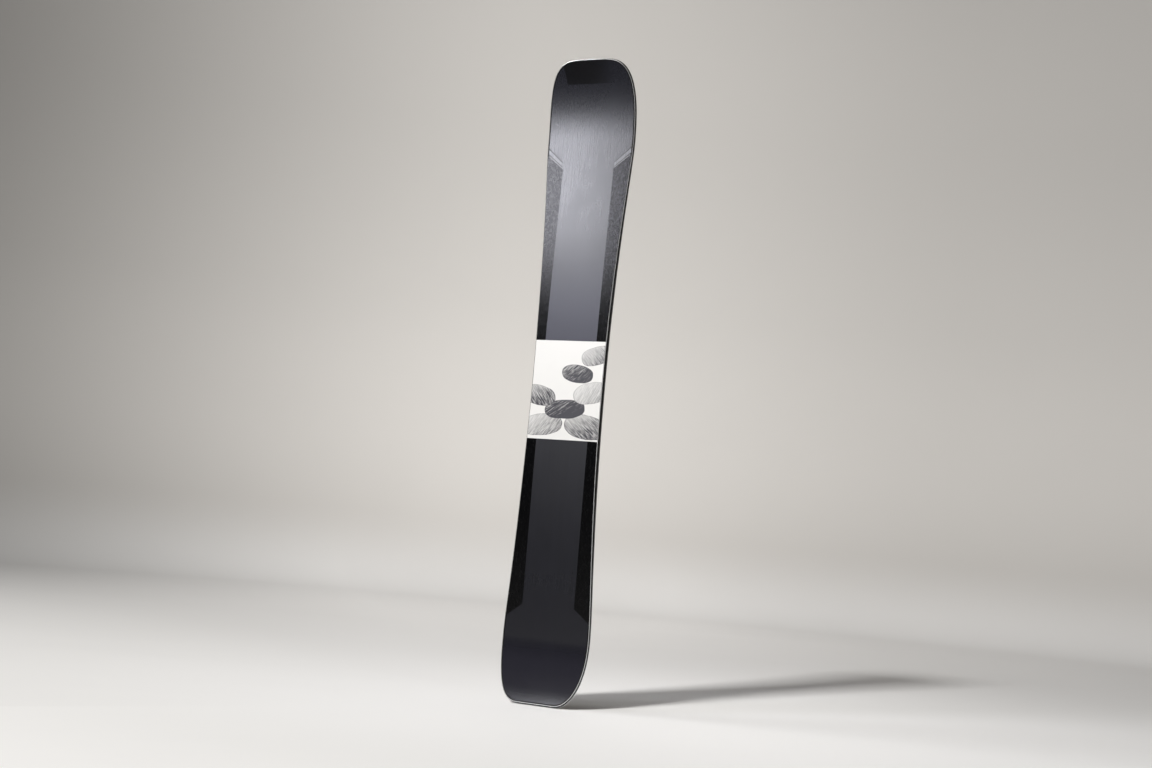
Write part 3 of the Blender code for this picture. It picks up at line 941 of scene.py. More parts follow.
@dataclass(frozen=True)
class CharcoalFinish:
    """Charcoal print under a satin coat, with fine lengthwise grain and pinstripes; a paler band above the waist
    panel and a paler foot are painted sheen, and a darker patch at the tip is a painted dark reflection.

    Rises, falls, starts and ends are the places between which something eases in or out, in metres. Tones are
    factors of the colour, and a value that ends in rough is added to the roughness.
    """

    colour: Colour = (0.0050, 0.0052, 0.0088)
    stripe_colour: Colour = (0.085, 0.086, 0.095)
    line_colour: Colour = (0.004, 0.004, 0.005)
    # Painted sheen: a paler, bluer colour in a band above the waist panel stands in for the tail of the sheen light's
    # reflection.
    pale_colour: Colour = (0.0415, 0.0425, 0.0610)
    # Painted sheen: a paler colour at the foot stands in for light reflected in the upturned tail.
    foot_colour: Colour = (0.0205, 0.0198, 0.0275)
    roughness: float = 0.27
    line_roughness: float = 0.62
    specular: float = 0.50
    grain_tones: Pair = (0.70, 1.30)
    grain_reach: Pair = (0.2, 0.8)
    grain_rough: Pair = (-0.013, 0.013)
    streak_share: float = 0.18
    streak_tone: float = 1.7
    smudge_rough: float = 0.018
    matt_gain: float = 0.13
    matt_rise: Pair = (0.05, 0.40)
    matt_start: float = -0.54
    matt_fall: Pair = (0.46, 0.78)
    pale_starts: Pair = (0.45, 0.50)
    pale_ends: Pair = (0.59, 0.72)
    stripe_start: float = FRONT_CORNER
    stripe_slope: float = math.tan(PANEL_SLOPE)
    stripe_spread: float = 14.0
    stripe_inset: Pair = (0.0006, 0.0014)
    stripe_softness: float = 0.0003
    light_stripes: tuple[Pair, Pair] = ((-0.001, 0.0016), (0.0029, 0.0082))
    dark_stripes: tuple[Pair, Pair] = ((0.0016, 0.0029), (0.0082, 0.0094))
    patch_low: float = 0.9518
    patch_left: float = -0.0413
    patch_lean: float = 0.222
    patch_edge: Pair = (-0.0006, 0.0006)
    patch_fall: Pair = (-0.002, 0.046)
    # Painted reflection: the darker patch at the tip stands in for a dark reflection in the gloss.
    patch_share: float = 0.95
    patch_tone: float = 0.5
    patch_rough: float = -0.055
    foot_fall: Pair = (0.058, 0.108)
    foot_rise: Pair = (0.002, 0.034)
    foot_shares: Pair = (0.25, 0.85)
    polish_rise: Pair = (0.010, 0.028)
    polish_rough: float = -0.045
    scratch_height: float = 0.5
    relief: Pair = (0.000010, 0.5)

    def stripes(self, sheet: Surface, effects: Effects, across: Any, up: Any) -> list[Any]:
        """Masks of the light and the dark pinstripes above the front panels.

        Args:
            sheet: Sheet of the material.
            effects: Shared node groups.
            across: Distance from the middle.
            up: Height up the ski.

        Returns:
            The light mask and the dark mask.
        """
        out = sheet.minus(across, STRIP_HALF_WIDTH)
        line = sheet.plus(sheet.times(out, self.stripe_slope), self.stripe_start)
        spread = sheet.plus(sheet.times(out, self.stripe_spread), 1.0)
        offset = sheet.math("DIVIDE", sheet.minus(up, line), spread)
        beside = sheet.ramp(out, *self.stripe_inset)
        masks = []
        for stripes in (self.light_stripes, self.dark_stripes):
            both = [sheet.use(effects.band, Value=offset, Low=low, High=high, Softness=self.stripe_softness)["Mask"]
                    for low, high in stripes]
            masks.append(sheet.times(sheet.math("ADD", *both, clamp=True), beside))
        return masks

    def patch(self, sheet: Surface, x: Any, up: Any) -> Any:
        """Mask of the painted dark reflection at the tip, which fades out to the right.

        Args:
            sheet: Sheet of the material.
            x: Distance from the middle, to the right.
            up: Height up the ski.

        Returns:
            The mask.
        """
        above = sheet.minus(up, self.patch_low)
        side = sheet.plus(sheet.times(above, -self.patch_lean), self.patch_left)
        inside = sheet.ramp(sheet.minus(x, side), *self.patch_edge)
        return sheet.times(sheet.ramp(above, *self.patch_edge), inside, sheet.fall(x, *self.patch_fall))

    def make(self, effects: Effects) -> Material:
        """Build the material.

        Args:
            effects: Shared node groups.

        Returns:
            The material.
        """
        sheet = Surface("charcoal_print", self.roughness, specular=self.specular)
        x, _, z = sheet.place()
        fine = sheet.use(effects.grain, Across=700.0, Along=14.0, Contrast=1.3)
        hair = sheet.use(effects.grain, Across=2600.0, Along=30.0, Contrast=1.3)
        marks = sheet.use(effects.marks, Size=11.0, Scratches=0.6)
        light, dark = self.stripes(sheet, effects, sheet.math("ABSOLUTE", x), z)
        patch = self.patch(sheet, x, z)
        # This mask carries the painted sheen at the foot in the colour and a polish in the roughness.
        foot_sheen_and_polish = sheet.fall(z, *self.foot_fall)
        layers = ((sheet.times(fine["Streaks"], self.streak_share), shade(self.colour, self.streak_tone)),
                  (sheet.times(sheet.ramp(z, *self.pale_starts), sheet.fall(z, *self.pale_ends)),
                   shade(self.pale_colour)),
                  (sheet.times(foot_sheen_and_polish, sheet.ramp(z, *self.foot_rise, *self.foot_shares)), shade(self.foot_colour)),
                  (sheet.times(patch, self.patch_share), shade(self.line_colour, self.patch_tone)),
                  (light, shade(self.stripe_colour)),
                  (dark, shade(self.line_colour)))
        colour = sheet.shades(fine["Grain"], self.colour, self.grain_tones)
        for share, paint in layers:
            colour = sheet.mix(share, colour, paint)
        rough = sheet.plus(
            sheet.swing(fine["Grain"], self.grain_reach, self.roughness, self.grain_rough),
            sheet.times(sheet.ramp(z, *self.matt_rise, self.matt_start, 1.0),
                        sheet.ramp(z, *self.matt_fall, self.matt_gain, 0.0)),
            sheet.times(marks["Smudge"], self.smudge_rough),
            sheet.times(patch, self.patch_rough),
            sheet.times(sheet.ramp(z, *self.polish_rise), foot_sheen_and_polish, self.polish_rough),
            sheet.times(dark, self.line_roughness - self.roughness))
        height = sheet.plus(hair["Grain"], sheet.times(marks["Scratch"], self.scratch_height))
        return sheet.finish(colour, rough, height, self.relief)


@dataclass(frozen=True)
class PanelFinish:
    """Black side panel: fine woven grain under a thin coat, with pale flecks painted in the upper part only, where
    the sheen falls: painted glints.
    """

    colour: Colour = (0.0011, 0.0011, 0.0014)
    roughness: float = 0.205
    specular: float = 0.195
    thread_count: float = 420.0
    cloth_tones: Pair = (0.6, 1.5)
    cloth_rough: float = 0.020
    cloth_height: float = 0.7
    grain_reach: Pair = (0.15, 0.85)
    grain_rough: Pair = (-0.030, 0.065)
    smudge_rough: float = 0.012
    # Painted glints: pale flecks in the upper part stand in for the sheen light glinting on the weave.
    fleck_colour: Colour = (0.026, 0.025, 0.032)
    fleck_reach: Pair = (0.35, 0.75)
    fleck_rise: Pair = (0.60, 0.72)
    relief: Pair = (0.000030, 0.7)

    def make(self, effects: Effects) -> Material:
        """Build the material.

        Args:
            effects: Shared node groups.

        Returns:
            The material.
        """
        sheet = Surface("black_panel_print", self.roughness, specular=self.specular)
        cloth = sheet.use(effects.weave, Threads=self.thread_count)
        grain = sheet.use(effects.grain, Across=330.0, Along=170.0, Contrast=2.2)["Grain"]
        smudge = sheet.use(effects.marks, Size=9.0, Scratches=0.4)["Smudge"]
        # Painted glints, only in the upper part, where the sheen light falls.
        painted_glints = sheet.times(sheet.ramp(grain, *self.fleck_reach), sheet.ramp(sheet.place()[2], *self.fleck_rise))
        colour = sheet.shades(cloth["Cloth"], self.colour, self.cloth_tones)
        rough = sheet.plus(sheet.swing(grain, self.grain_reach, self.roughness, self.grain_rough),
                           sheet.times(cloth["Cloth"], self.cloth_rough), sheet.times(smudge, self.smudge_rough))
        height = sheet.plus(sheet.times(cloth["Height"], self.cloth_height), grain)
        return sheet.finish(sheet.mix(painted_glints, colour, shade(self.fleck_colour)), rough, height, self.relief)


@dataclass(frozen=True)
class Pebble:
    """Place, size and shading of one drawn pebble, in metres and radians."""

    x: float
    z: float
    width: float
    height: float
    turn: float
    tone: float
    hatch: float


@dataclass(frozen=True)
class WaistFinish:
    """White print with loose pencil-shaded pebbles."""

    paper: Colour = (0.76, 0.75, 0.725)
    graphite: Colour = (0.036, 0.035, 0.044)
    roughness: float = 0.38
    smudge_share: float = 0.5
    smudge_tone: float = 0.975
    smudge_rough: float = 0.05
    graphite_rough: float = 0.10
    relief: Pair = (0.000008, 0.4)
    pebbles: tuple[Pebble, ...] = (
        Pebble(-0.036, 0.4190, 0.034, 0.0165, 0.10, 0.75, 0.95),
        Pebble(0.036, 0.4180, 0.035, 0.0180, -0.16, 1.10, -0.70),
        Pebble(0.000, 0.4440, 0.033, 0.0145, 0.05, 2.30, 0.55),
        Pebble(-0.045, 0.4640, 0.029, 0.0150, -0.22, 1.20, -0.95),
        Pebble(0.042, 0.4700, 0.030, 0.0160, 0.20, 0.60, 1.10),
        Pebble(0.016, 0.4985, 0.026, 0.0135, -0.12, 1.90, 0.75),
        Pebble(0.046, 0.5270, 0.026, 0.0140, 0.25, 0.90, -0.80),
    )

    def make(self, effects: Effects) -> Material:
        """Build the material.

        Args:
            effects: Shared node groups.

        Returns:
            The material.
        """
        sheet = Surface("waist_print", self.roughness)
        tone: Any = 0.0
        for pebble in self.pebbles:
            given = {label.capitalize(): value for label, value in vars(pebble).items()}
            tone = sheet.use(effects.pebble, Below=tone, **given)["Tone"]
        marks = sheet.use(effects.marks, Size=18.0, Scratches=0.3)
        grain = sheet.use(effects.grain, Across=1500.0, Along=40.0, Contrast=1.0)["Grain"]
        paper = sheet.mix(sheet.times(marks["Smudge"], self.smudge_share), shade(self.paper),
                          shade(self.paper, self.smudge_tone))
        rough = sheet.plus(sheet.times(tone, self.graphite_rough), self.roughness,
                           sheet.times(marks["Smudge"], self.smudge_rough))
        return sheet.finish(sheet.mix(tone, paper, shade(self.graphite)), rough,
                            sheet.plus(grain, marks["Scratch"]), self.relief)


@dataclass(frozen=True)
class MetalFinish:
    """Ground or brushed metal, worn a little brighter and duller in places."""

    name: str
    colour: Colour
    roughness: float
    across: float
    along: float
    line_tones: Pair = (0.86, 1.10)
    line_reach: Pair = (0.1, 0.9)
    line_rough: Pair = (-0.07, 0.09)
    smudge_share: float = 0.35
    smudge_tone: float = 0.78
    smudge_rough: float = 0.08
    relief: Pair = (0.000015, 0.6)

    def make(self, effects: Effects) -> Material:
        """Build the material.

        Args:
            effects: Shared node groups.

        Returns:
            The material.
        """
        sheet = Surface(self.name, self.roughness, metallic=1.0)
        lines = sheet.use(effects.grain, Across=self.across, Along=self.along, Contrast=1.8)["Grain"]
        smudge = sheet.use(effects.marks, Size=26.0, Scratches=1.0)["Smudge"]
        colour = sheet.mix(sheet.times(smudge, self.smudge_share),
                           sheet.shades(lines, self.colour, self.line_tones), shade(self.colour, self.smudge_tone))
        rough = sheet.plus(sheet.swing(lines, self.line_reach, self.roughness, self.line_rough),
                           sheet.times(smudge, self.smudge_rough))
        return sheet.finish(colour, rough, lines, self.relief)


@dataclass(frozen=True)
class PlasticFinish:
    """Dark plastic or rubber with fine machining lines, which change the roughness by a share, and a little dust."""

    name: str
    colour: Colour
    roughness: float
    across: float = 1500.0
    along: float = 12.0
    depth: float = 0.000010
    wear: float = 0.06
    specular: float = 0.5
    ior: float = 1.5
    dust: Colour = (0.16, 0.155, 0.15)
    line_tones: Pair = (0.7, 1.35)
    line_reach: Pair = (0.1, 0.9)
    line_rough: float = 0.2
    smudge_rough: float = 0.08
    bump: float = 0.6

    def make(self, effects: Effects) -> Material:
        """Build the material.

        Args:
            effects: Shared node groups.

        Returns:
            The material.
        """
        sheet = Surface(self.name, self.roughness, specular=self.specular)
        sheet.fill(sheet.shader, {"IOR": self.ior})
        lines = sheet.use(effects.grain, Across=self.across, Along=self.along, Contrast=1.7)["Grain"]
        marks = sheet.use(effects.marks, Size=20.0, Scratches=1.0)
        worn = sheet.times(sheet.plus(marks["Scratch"], marks["Smudge"]), self.wear / 2)
        colour = sheet.mix(worn, sheet.shades(lines, self.colour, self.line_tones), shade(self.dust))
        change = self.roughness * self.line_rough
        rough = sheet.plus(sheet.swing(lines, self.line_reach, self.roughness, (-change, change)),
                           sheet.times(marks["Smudge"], self.smudge_rough))
        return sheet.finish(colour, rough, sheet.plus(lines, marks["Scratch"]), (self.depth, self.bump))


@dataclass(frozen=True)
class FibreFinish:
    """Fibre sheet set in resin, with its weave showing."""

    name: str
    colour: Colour
    roughness: float
    threads: float
    cloth_tones: Pair = (0.75, 1.25)
    cloth_rough: Pair = (0.12, -0.05)
    smudge_share: float = 0.3
    smudge_tone: float = 0.6
    relief: Pair = (0.00008, 0.7)

    def make(self, effects: Effects) -> Material:
        """Build the material.

        Args:
            effects: Shared node groups.

        Returns:
            The material.
        """
        sheet = Surface(self.name, self.roughness)
        cloth = sheet.use(effects.weave, Threads=self.threads)
        smudge = sheet.use(effects.marks, Size=25.0, Scratches=0.5)["Smudge"]
        colour = sheet.mix(sheet.times(smudge, self.smudge_share),
                           sheet.shades(cloth["Cloth"], self.colour, self.cloth_tones),
                           shade(self.colour, self.smudge_tone))
        rough = sheet.swing(cloth["Height"], (0.0, 1.0), self.roughness, self.cloth_rough)
        return sheet.finish(colour, rough, cloth["Height"], self.relief)


@dataclass(frozen=True)
class WoodFinish:
    """Planed core wood with its grain along the ski."""

    light: Colour = (0.60, 0.43, 0.24)
    dark: Colour = (0.36, 0.21, 0.10)
    roughness: float = 0.58
    fine_share: float = 0.35
    fine_tone: float = 0.8
    fine_reach: Pair = (0.2, 0.8)
    fine_rough: Pair = (-0.08, 0.10)
    relief: Pair = (0.00005, 0.6)

    def make(self, effects: Effects) -> Material:
        """Build the material.

        Args:
            effects: Shared node groups.

        Returns:
            The material.
        """
        sheet = Surface("core_wood", self.roughness)
        fine = sheet.use(effects.grain, Across=900.0, Along=8.0, Contrast=1.6)["Grain"]
        rings = sheet.use(effects.grain, Across=140.0, Along=2.2, Contrast=2.4)["Grain"]
        colour = sheet.mix(sheet.times(fine, self.fine_share), sheet.mix(rings, shade(self.light), shade(self.dark)),
                           shade(self.dark, self.fine_tone))
        rough = sheet.swing(fine, self.fine_reach, self.roughness, self.fine_rough)
        return sheet.finish(colour, rough, fine, self.relief)


def angles(low: float, high: float) -> Pair:
    """Two angles in degrees, as radians."""
    return math.radians(low), math.radians(high)


BLACK: Colour = (0.0, 0.0, 0.0)


@dataclass(frozen=True)
class BackdropFinish:
    """Matt pale paper: neutral on the floor, a little warmer on the wall, with painted light falloff and shade round
    the object.

    Reaches are distances from the object in metres, turns are angles round it, and tones are factors of the colour.
    """

    floor: Colour = (0.93, 0.923, 0.915)
    wall: Colour = (0.84, 0.815, 0.785)
    roughness: float = 0.92
    specular: float = 0.15
    smudge_share: float = 0.02
    smudge_tone: float = 0.5
    turn_heights: Pair = (0.0, 0.35)
    bounce: float = 0.43
    left_turn: Pair = angles(116, 156)
    left_tone: float = 0.32
    left_reach: Pair = (0.3, 4.6)
    middle_turn: float = math.radians(66)
    low_heights: Pair = (0.0, 0.75)
    low_tone: float = 0.90
    top_heights: Pair = (0.9, 2.4)
    top_tone: float = 0.82
    far_reach: Pair = (0.8, 4.5)
    far_tone: float = 1.12
    aside: Pair = (0.914, 0.407)
    aside_reach: Pair = (-0.25, 1.3)
    aside_tone: float = 0.78
    right_turn: Pair = angles(92, 119)
    right_tone: float = 0.745
    shade_starts: Pair = angles(30, 50)
    shade_ends: Pair = angles(70, 83)
    shade_tone: float = 0.45
    front: Pair = (-0.407, -0.914)
    front_fade: Pair = (1.1, 1.9)
    front_tone: float = 0.06
    front_glow: float = 0.62
    glow_reach: Pair = (1.2, 2.1)
    glow_right: Pair = angles(38, 75)
    glow_left: Pair = angles(150, 182)
    glow_far: Pair = (2.8, 4.6)

    @staticmethod
    def along(sheet: Surface, direction: Pair) -> Any:
        """Distance from the object's middle along a level direction."""
        x, y, _ = sheet.place()
        return sheet.plus(sheet.times(x, direction[0]), sheet.times(y, direction[1]))

    def around(self, sheet: Surface) -> tuple[Any, Any]:
        """Place round the object.

        Args:
            sheet: Sheet of the material.

        Returns:
            The angle, which jumps only in the middle of the front, and the distance.
        """
        cosine, sine = math.cos(self.middle_turn), math.sin(self.middle_turn)
        turned = sheet.math("ARCTAN2", self.along(sheet, (-sine, cosine)), self.along(sheet, (cosine, sine)))
        x, y, _ = sheet.place()
        reach = sheet.math("SQRT", sheet.plus(sheet.times(x, x), sheet.times(y, y)))
        return sheet.plus(turned, self.middle_turn), reach

    def glow(self, sheet: Surface, turn: Any, reach: Any) -> Any:
        """Painted glow: share of the emission that makes the unlit paper in front of and beside the object look pale.

        Args:
            sheet: Sheet of the material.
            turn: Angle round the object.
            reach: Distance from it.

        Returns:
            The tone's socket.
        """
        sides = sheet.math("ADD", sheet.fall(turn, *self.glow_right), sheet.ramp(turn, *self.glow_left), clamp=True)
        sides = sheet.times(sides, sheet.ramp(reach, *self.glow_far))
        front = sheet.ramp(self.along(sheet, self.front), *self.glow_reach)
        return sheet.times(sheet.math("MAXIMUM", sides, front), self.front_glow)

    def tones(self, sheet: Surface, turn: Any, reach: Any) -> tuple[Any, Any]:
        """Painted light falloff and shade that grade the paper round the object, as light falling off a real backdrop
        does.

        Args:
            sheet: Sheet of the material.
            turn: Angle round the object.
            reach: Distance from it.

        Returns:
            The tone of the floor and the tone of the wall.
        """
        z = sheet.place()[2]
        left = sheet.ramp(turn, *self.left_turn)
        shaded = sheet.times(sheet.ramp(turn, *self.shade_starts), sheet.fall(turn, *self.shade_ends))
        far_left = sheet.times(left, sheet.ramp(reach, *self.left_reach))
        floor, wall = [sheet.minus(1.0, sheet.times(share, 1.0 - self.left_tone)) for share in (far_left, left)]
        floor = sheet.times(
            floor,
            sheet.ramp(reach, *self.far_reach, 1.0, self.far_tone),
            sheet.ramp(self.along(sheet, self.aside), *self.aside_reach, 1.0, self.aside_tone),
            # Painted shade: the floor in front of the object is painted nearly black, so glossy parts reflect dark
            # there.
            sheet.ramp(self.along(sheet, self.front), *self.front_fade, 1.0, self.front_tone))
        wall = sheet.times(
            wall,
            sheet.ramp(turn, *self.right_turn, self.right_tone, 1.0),
            sheet.ramp(shaded, 0.0, 1.0, 1.0, self.shade_tone, smooth=False),
            sheet.ramp(z, *self.low_heights, self.low_tone, 1.0),
            sheet.ramp(z, *self.top_heights, 1.0, self.top_tone))
        return floor, wall

    def make(self, effects: Effects) -> Material:
        """Build the material.

        Args:
            effects: Shared node groups.

        Returns:
            The material.
        """
        sheet = Surface("studio_paper", self.roughness, specular=self.specular)
        black = shade(BLACK)
        turn, reach = self.around(sheet)
        floor_tone, wall_tone = self.tones(sheet, turn, reach)
        colour = sheet.mix(sheet.ramp(sheet.place()[2], *self.turn_heights),
                           sheet.mix(floor_tone, black, shade(self.floor)),
                           sheet.mix(wall_tone, black, shade(self.wall)))
        smudge = sheet.use(effects.marks, Size=1.3, Scratches=0.0)["Smudge"]
        colour = sheet.mix(sheet.times(smudge, self.smudge_share), colour, shade(self.wall, self.smudge_tone))
        path = sheet.add("LightPath").outputs
        seen = sheet.math("ADD", sheet.plus(path["Is Camera Ray"], path["Is Glossy Ray"]),
                          path["Is Transmission Ray"], clamp=True)
        bounced = sheet.mix(1.0 - self.bounce, colour, black)
        # Painted glow: the paper gives off light that only the camera sees.
        glow = sheet.times(self.glow(sheet, turn, reach), path["Is Camera Ray"])
        sheet.fill(sheet.shader, {"Base_Color": sheet.mix(seen, bounced, colour),
                                  "Emission_Color": sheet.mix(glow, black, shade(self.wall)),
                                  "Emission_Strength": 1.0})
        return sheet.material


@dataclass
class TopsheetPrint:
    """Topsheet: charcoal fields at both ends, black side panels and the white panel at the waist."""

    shop: Workshop
    rear_corner: float = 0.1465
    border_width: float = 0.0018
    round_over: float = 0.00015
    seam_rounds: int = 20

    def corner(self, end: SkiEnd) -> float:
        """Place where the seam turns outwards from the centre strip."""
        return FRONT_CORNER if end is SkiEnd.FRONT else self.rear_corner

    def seam_across(self, place: float, end: SkiEnd) -> float:
        """Distance from the middle to the seam between a charcoal field and a panel."""
        past = max(end.value * (place - self.corner(end)), 0.0)
        return STRIP_HALF_WIDTH + past / math.tan(PANEL_SLOPE)

    def panel_end(self, end: SkiEnd) -> float:
        """Place where the seam reaches the border of the field.

        Args:
            end: End of the ski.

        Returns:
            The place.
        """
        edge = self.shop.form.inset(self.shop.form.rim_width + self.border_width)
        place = self.corner(end)
        for _ in range(self.seam_rounds):
            reach = point_at(edge, place).x - STRIP_HALF_WIDTH
            place = self.corner(end) + end.value * reach * math.tan(PANEL_SLOPE)
        return place

    def seam_places(self, end: SkiEnd) -> list[float]:
        """Rows of the seam, from the white panel to the border, in rising order.

        Args:
            end: End of the ski.

        Returns:
            The places.
        """
        form, corner = self.shop.form, self.corner(end)
        start = form.platform_end if end is SkiEnd.FRONT else form.platform_start
        low, high = sorted((start, self.panel_end(end)))
        free = [point.y for point in form.outline
                if low + form.least_gap < point.y < high - form.least_gap
                and abs(point.y - corner) > form.least_gap]
        return sorted(free + [low, corner, high])

    def shoulder(self, place: float) -> float:
        """Height where the topsheet's edge starts to round over."""
        return self.shop.form.thickness(place) - self.round_over

    def outer_section(self) -> Section:
        """Insets and heights of the rounded outer side, from its underside up.

        Returns:
            The insets and heights.
        """
        form = self.shop.form
        return [(form.rim_width, form.alloy_high), (form.rim_width, self.shoulder),
                (form.rim_width + self.round_over, form.thickness)]

    def outer_profile(self, places: Sequence[float]) -> Profile:
        """Rounded outer side of a panel, from its underside up.

        Args:
            places: Places along the ski.

        Returns:
            The lines and heights.
        """
        profile = []
        for inset, height in self.outer_section():
            edge = self.shop.form.inset(inset)
            profile.append(([Vector((point_at(edge, place).x, place)) for place in places], height))
        return profile

    def upright(self, line: Line) -> Profile:
        """Square side along one line, with as many points as a rounded one."""
        form = self.shop.form
        return [(line, form.alloy_high), (line, self.shoulder), (line, form.thickness)]

    def build_field(self, end: SkiEnd, finish: Material) -> None:
        """Charcoal field: centre strip and the ski's end, inside its border.

        Args:
            end: End of the ski.
            finish: Charcoal material.
        """
        form, stop = self.shop.form, self.panel_end(end)
        seam = [Vector((self.seam_across(place, end), place)) for place in self.seam_places(end)]
        inner = form.inset(form.rim_width + self.border_width)
        beyond = [point for base, point in zip(form.outline, inner)
                  if end.value * (base.y - stop) > form.least_gap]
        line = seam + beyond if end is SkiEnd.FRONT else beyond + seam
        name = f"topsheet_{end.word}"
        piece = self.shop.strip("print_" + name, self.upright(mirrored(line)), self.upright(line))
        self.shop.dress(piece, finish, Slot.CHARCOAL, name)

    def build_border(self, end: SkiEnd, finish: Material) -> None:
        """Thin dark border round the charcoal field.

        Args:
            end: End of the ski.
            finish: Black material.
        """
        form = self.shop.form
        inner = form.rim_width + self.border_width
        section = self.outer_section() + [(inner, form.thickness), (inner, form.alloy_high)]
        path = self.shop.wrap(end, self.panel_end(end))
        piece = self.shop.rail(f"print_border_{end.word}", path, section)
        self.shop.dress(piece, finish, Slot.BLACK)

    def build_panel(self, end: SkiEnd, side: Side, finish: Material) -> None:
        """Black side panel from the white panel to the charcoal field.

        Args:
            end: End of the ski.
            side: Side of the ski.
            finish: Black material.
        """
        places = self.seam_places(end)
        left = self.upright([Vector((self.seam_across(place, end), place)) for place in places])
        right = self.outer_profile(places)
        if side is Side.LEFT:
            left, right = [[(mirrored(line), height) for line, height in profile] for profile in (right, left)]
        name = f"panel_{end.word}_{side.word}"
        piece = self.shop.strip("print_" + name, left, right)
        self.shop.dress(piece, finish, Slot.BLACK, name)

    def build_waist(self, finish: Material) -> None:
        """White panel over the binding platform.

        Args:
            finish: White material.
        """
        form = self.shop.form
        piece = self.shop.across("print_waist_panel", self.outer_section(), form.platform_start, form.platform_end)
        self.shop.dress(piece, finish, Slot.WHITE, "waist_panel")

    def build(self, charcoal: Material, black: Material, border: Material, white: Material) -> None:
        """Build every field of the topsheet.

        Args:
            charcoal: Material of the two end fields.
            black: Material of the side panels.
            border: Material of the borders round the end fields.
            white: Material of the waist panel.
        """
        for end in SkiEnd:
            self.build_field(end, charcoal)
            self.build_border(end, border)
            for side in Side:
                self.build_panel(end, side, black)
        self.build_waist(white)


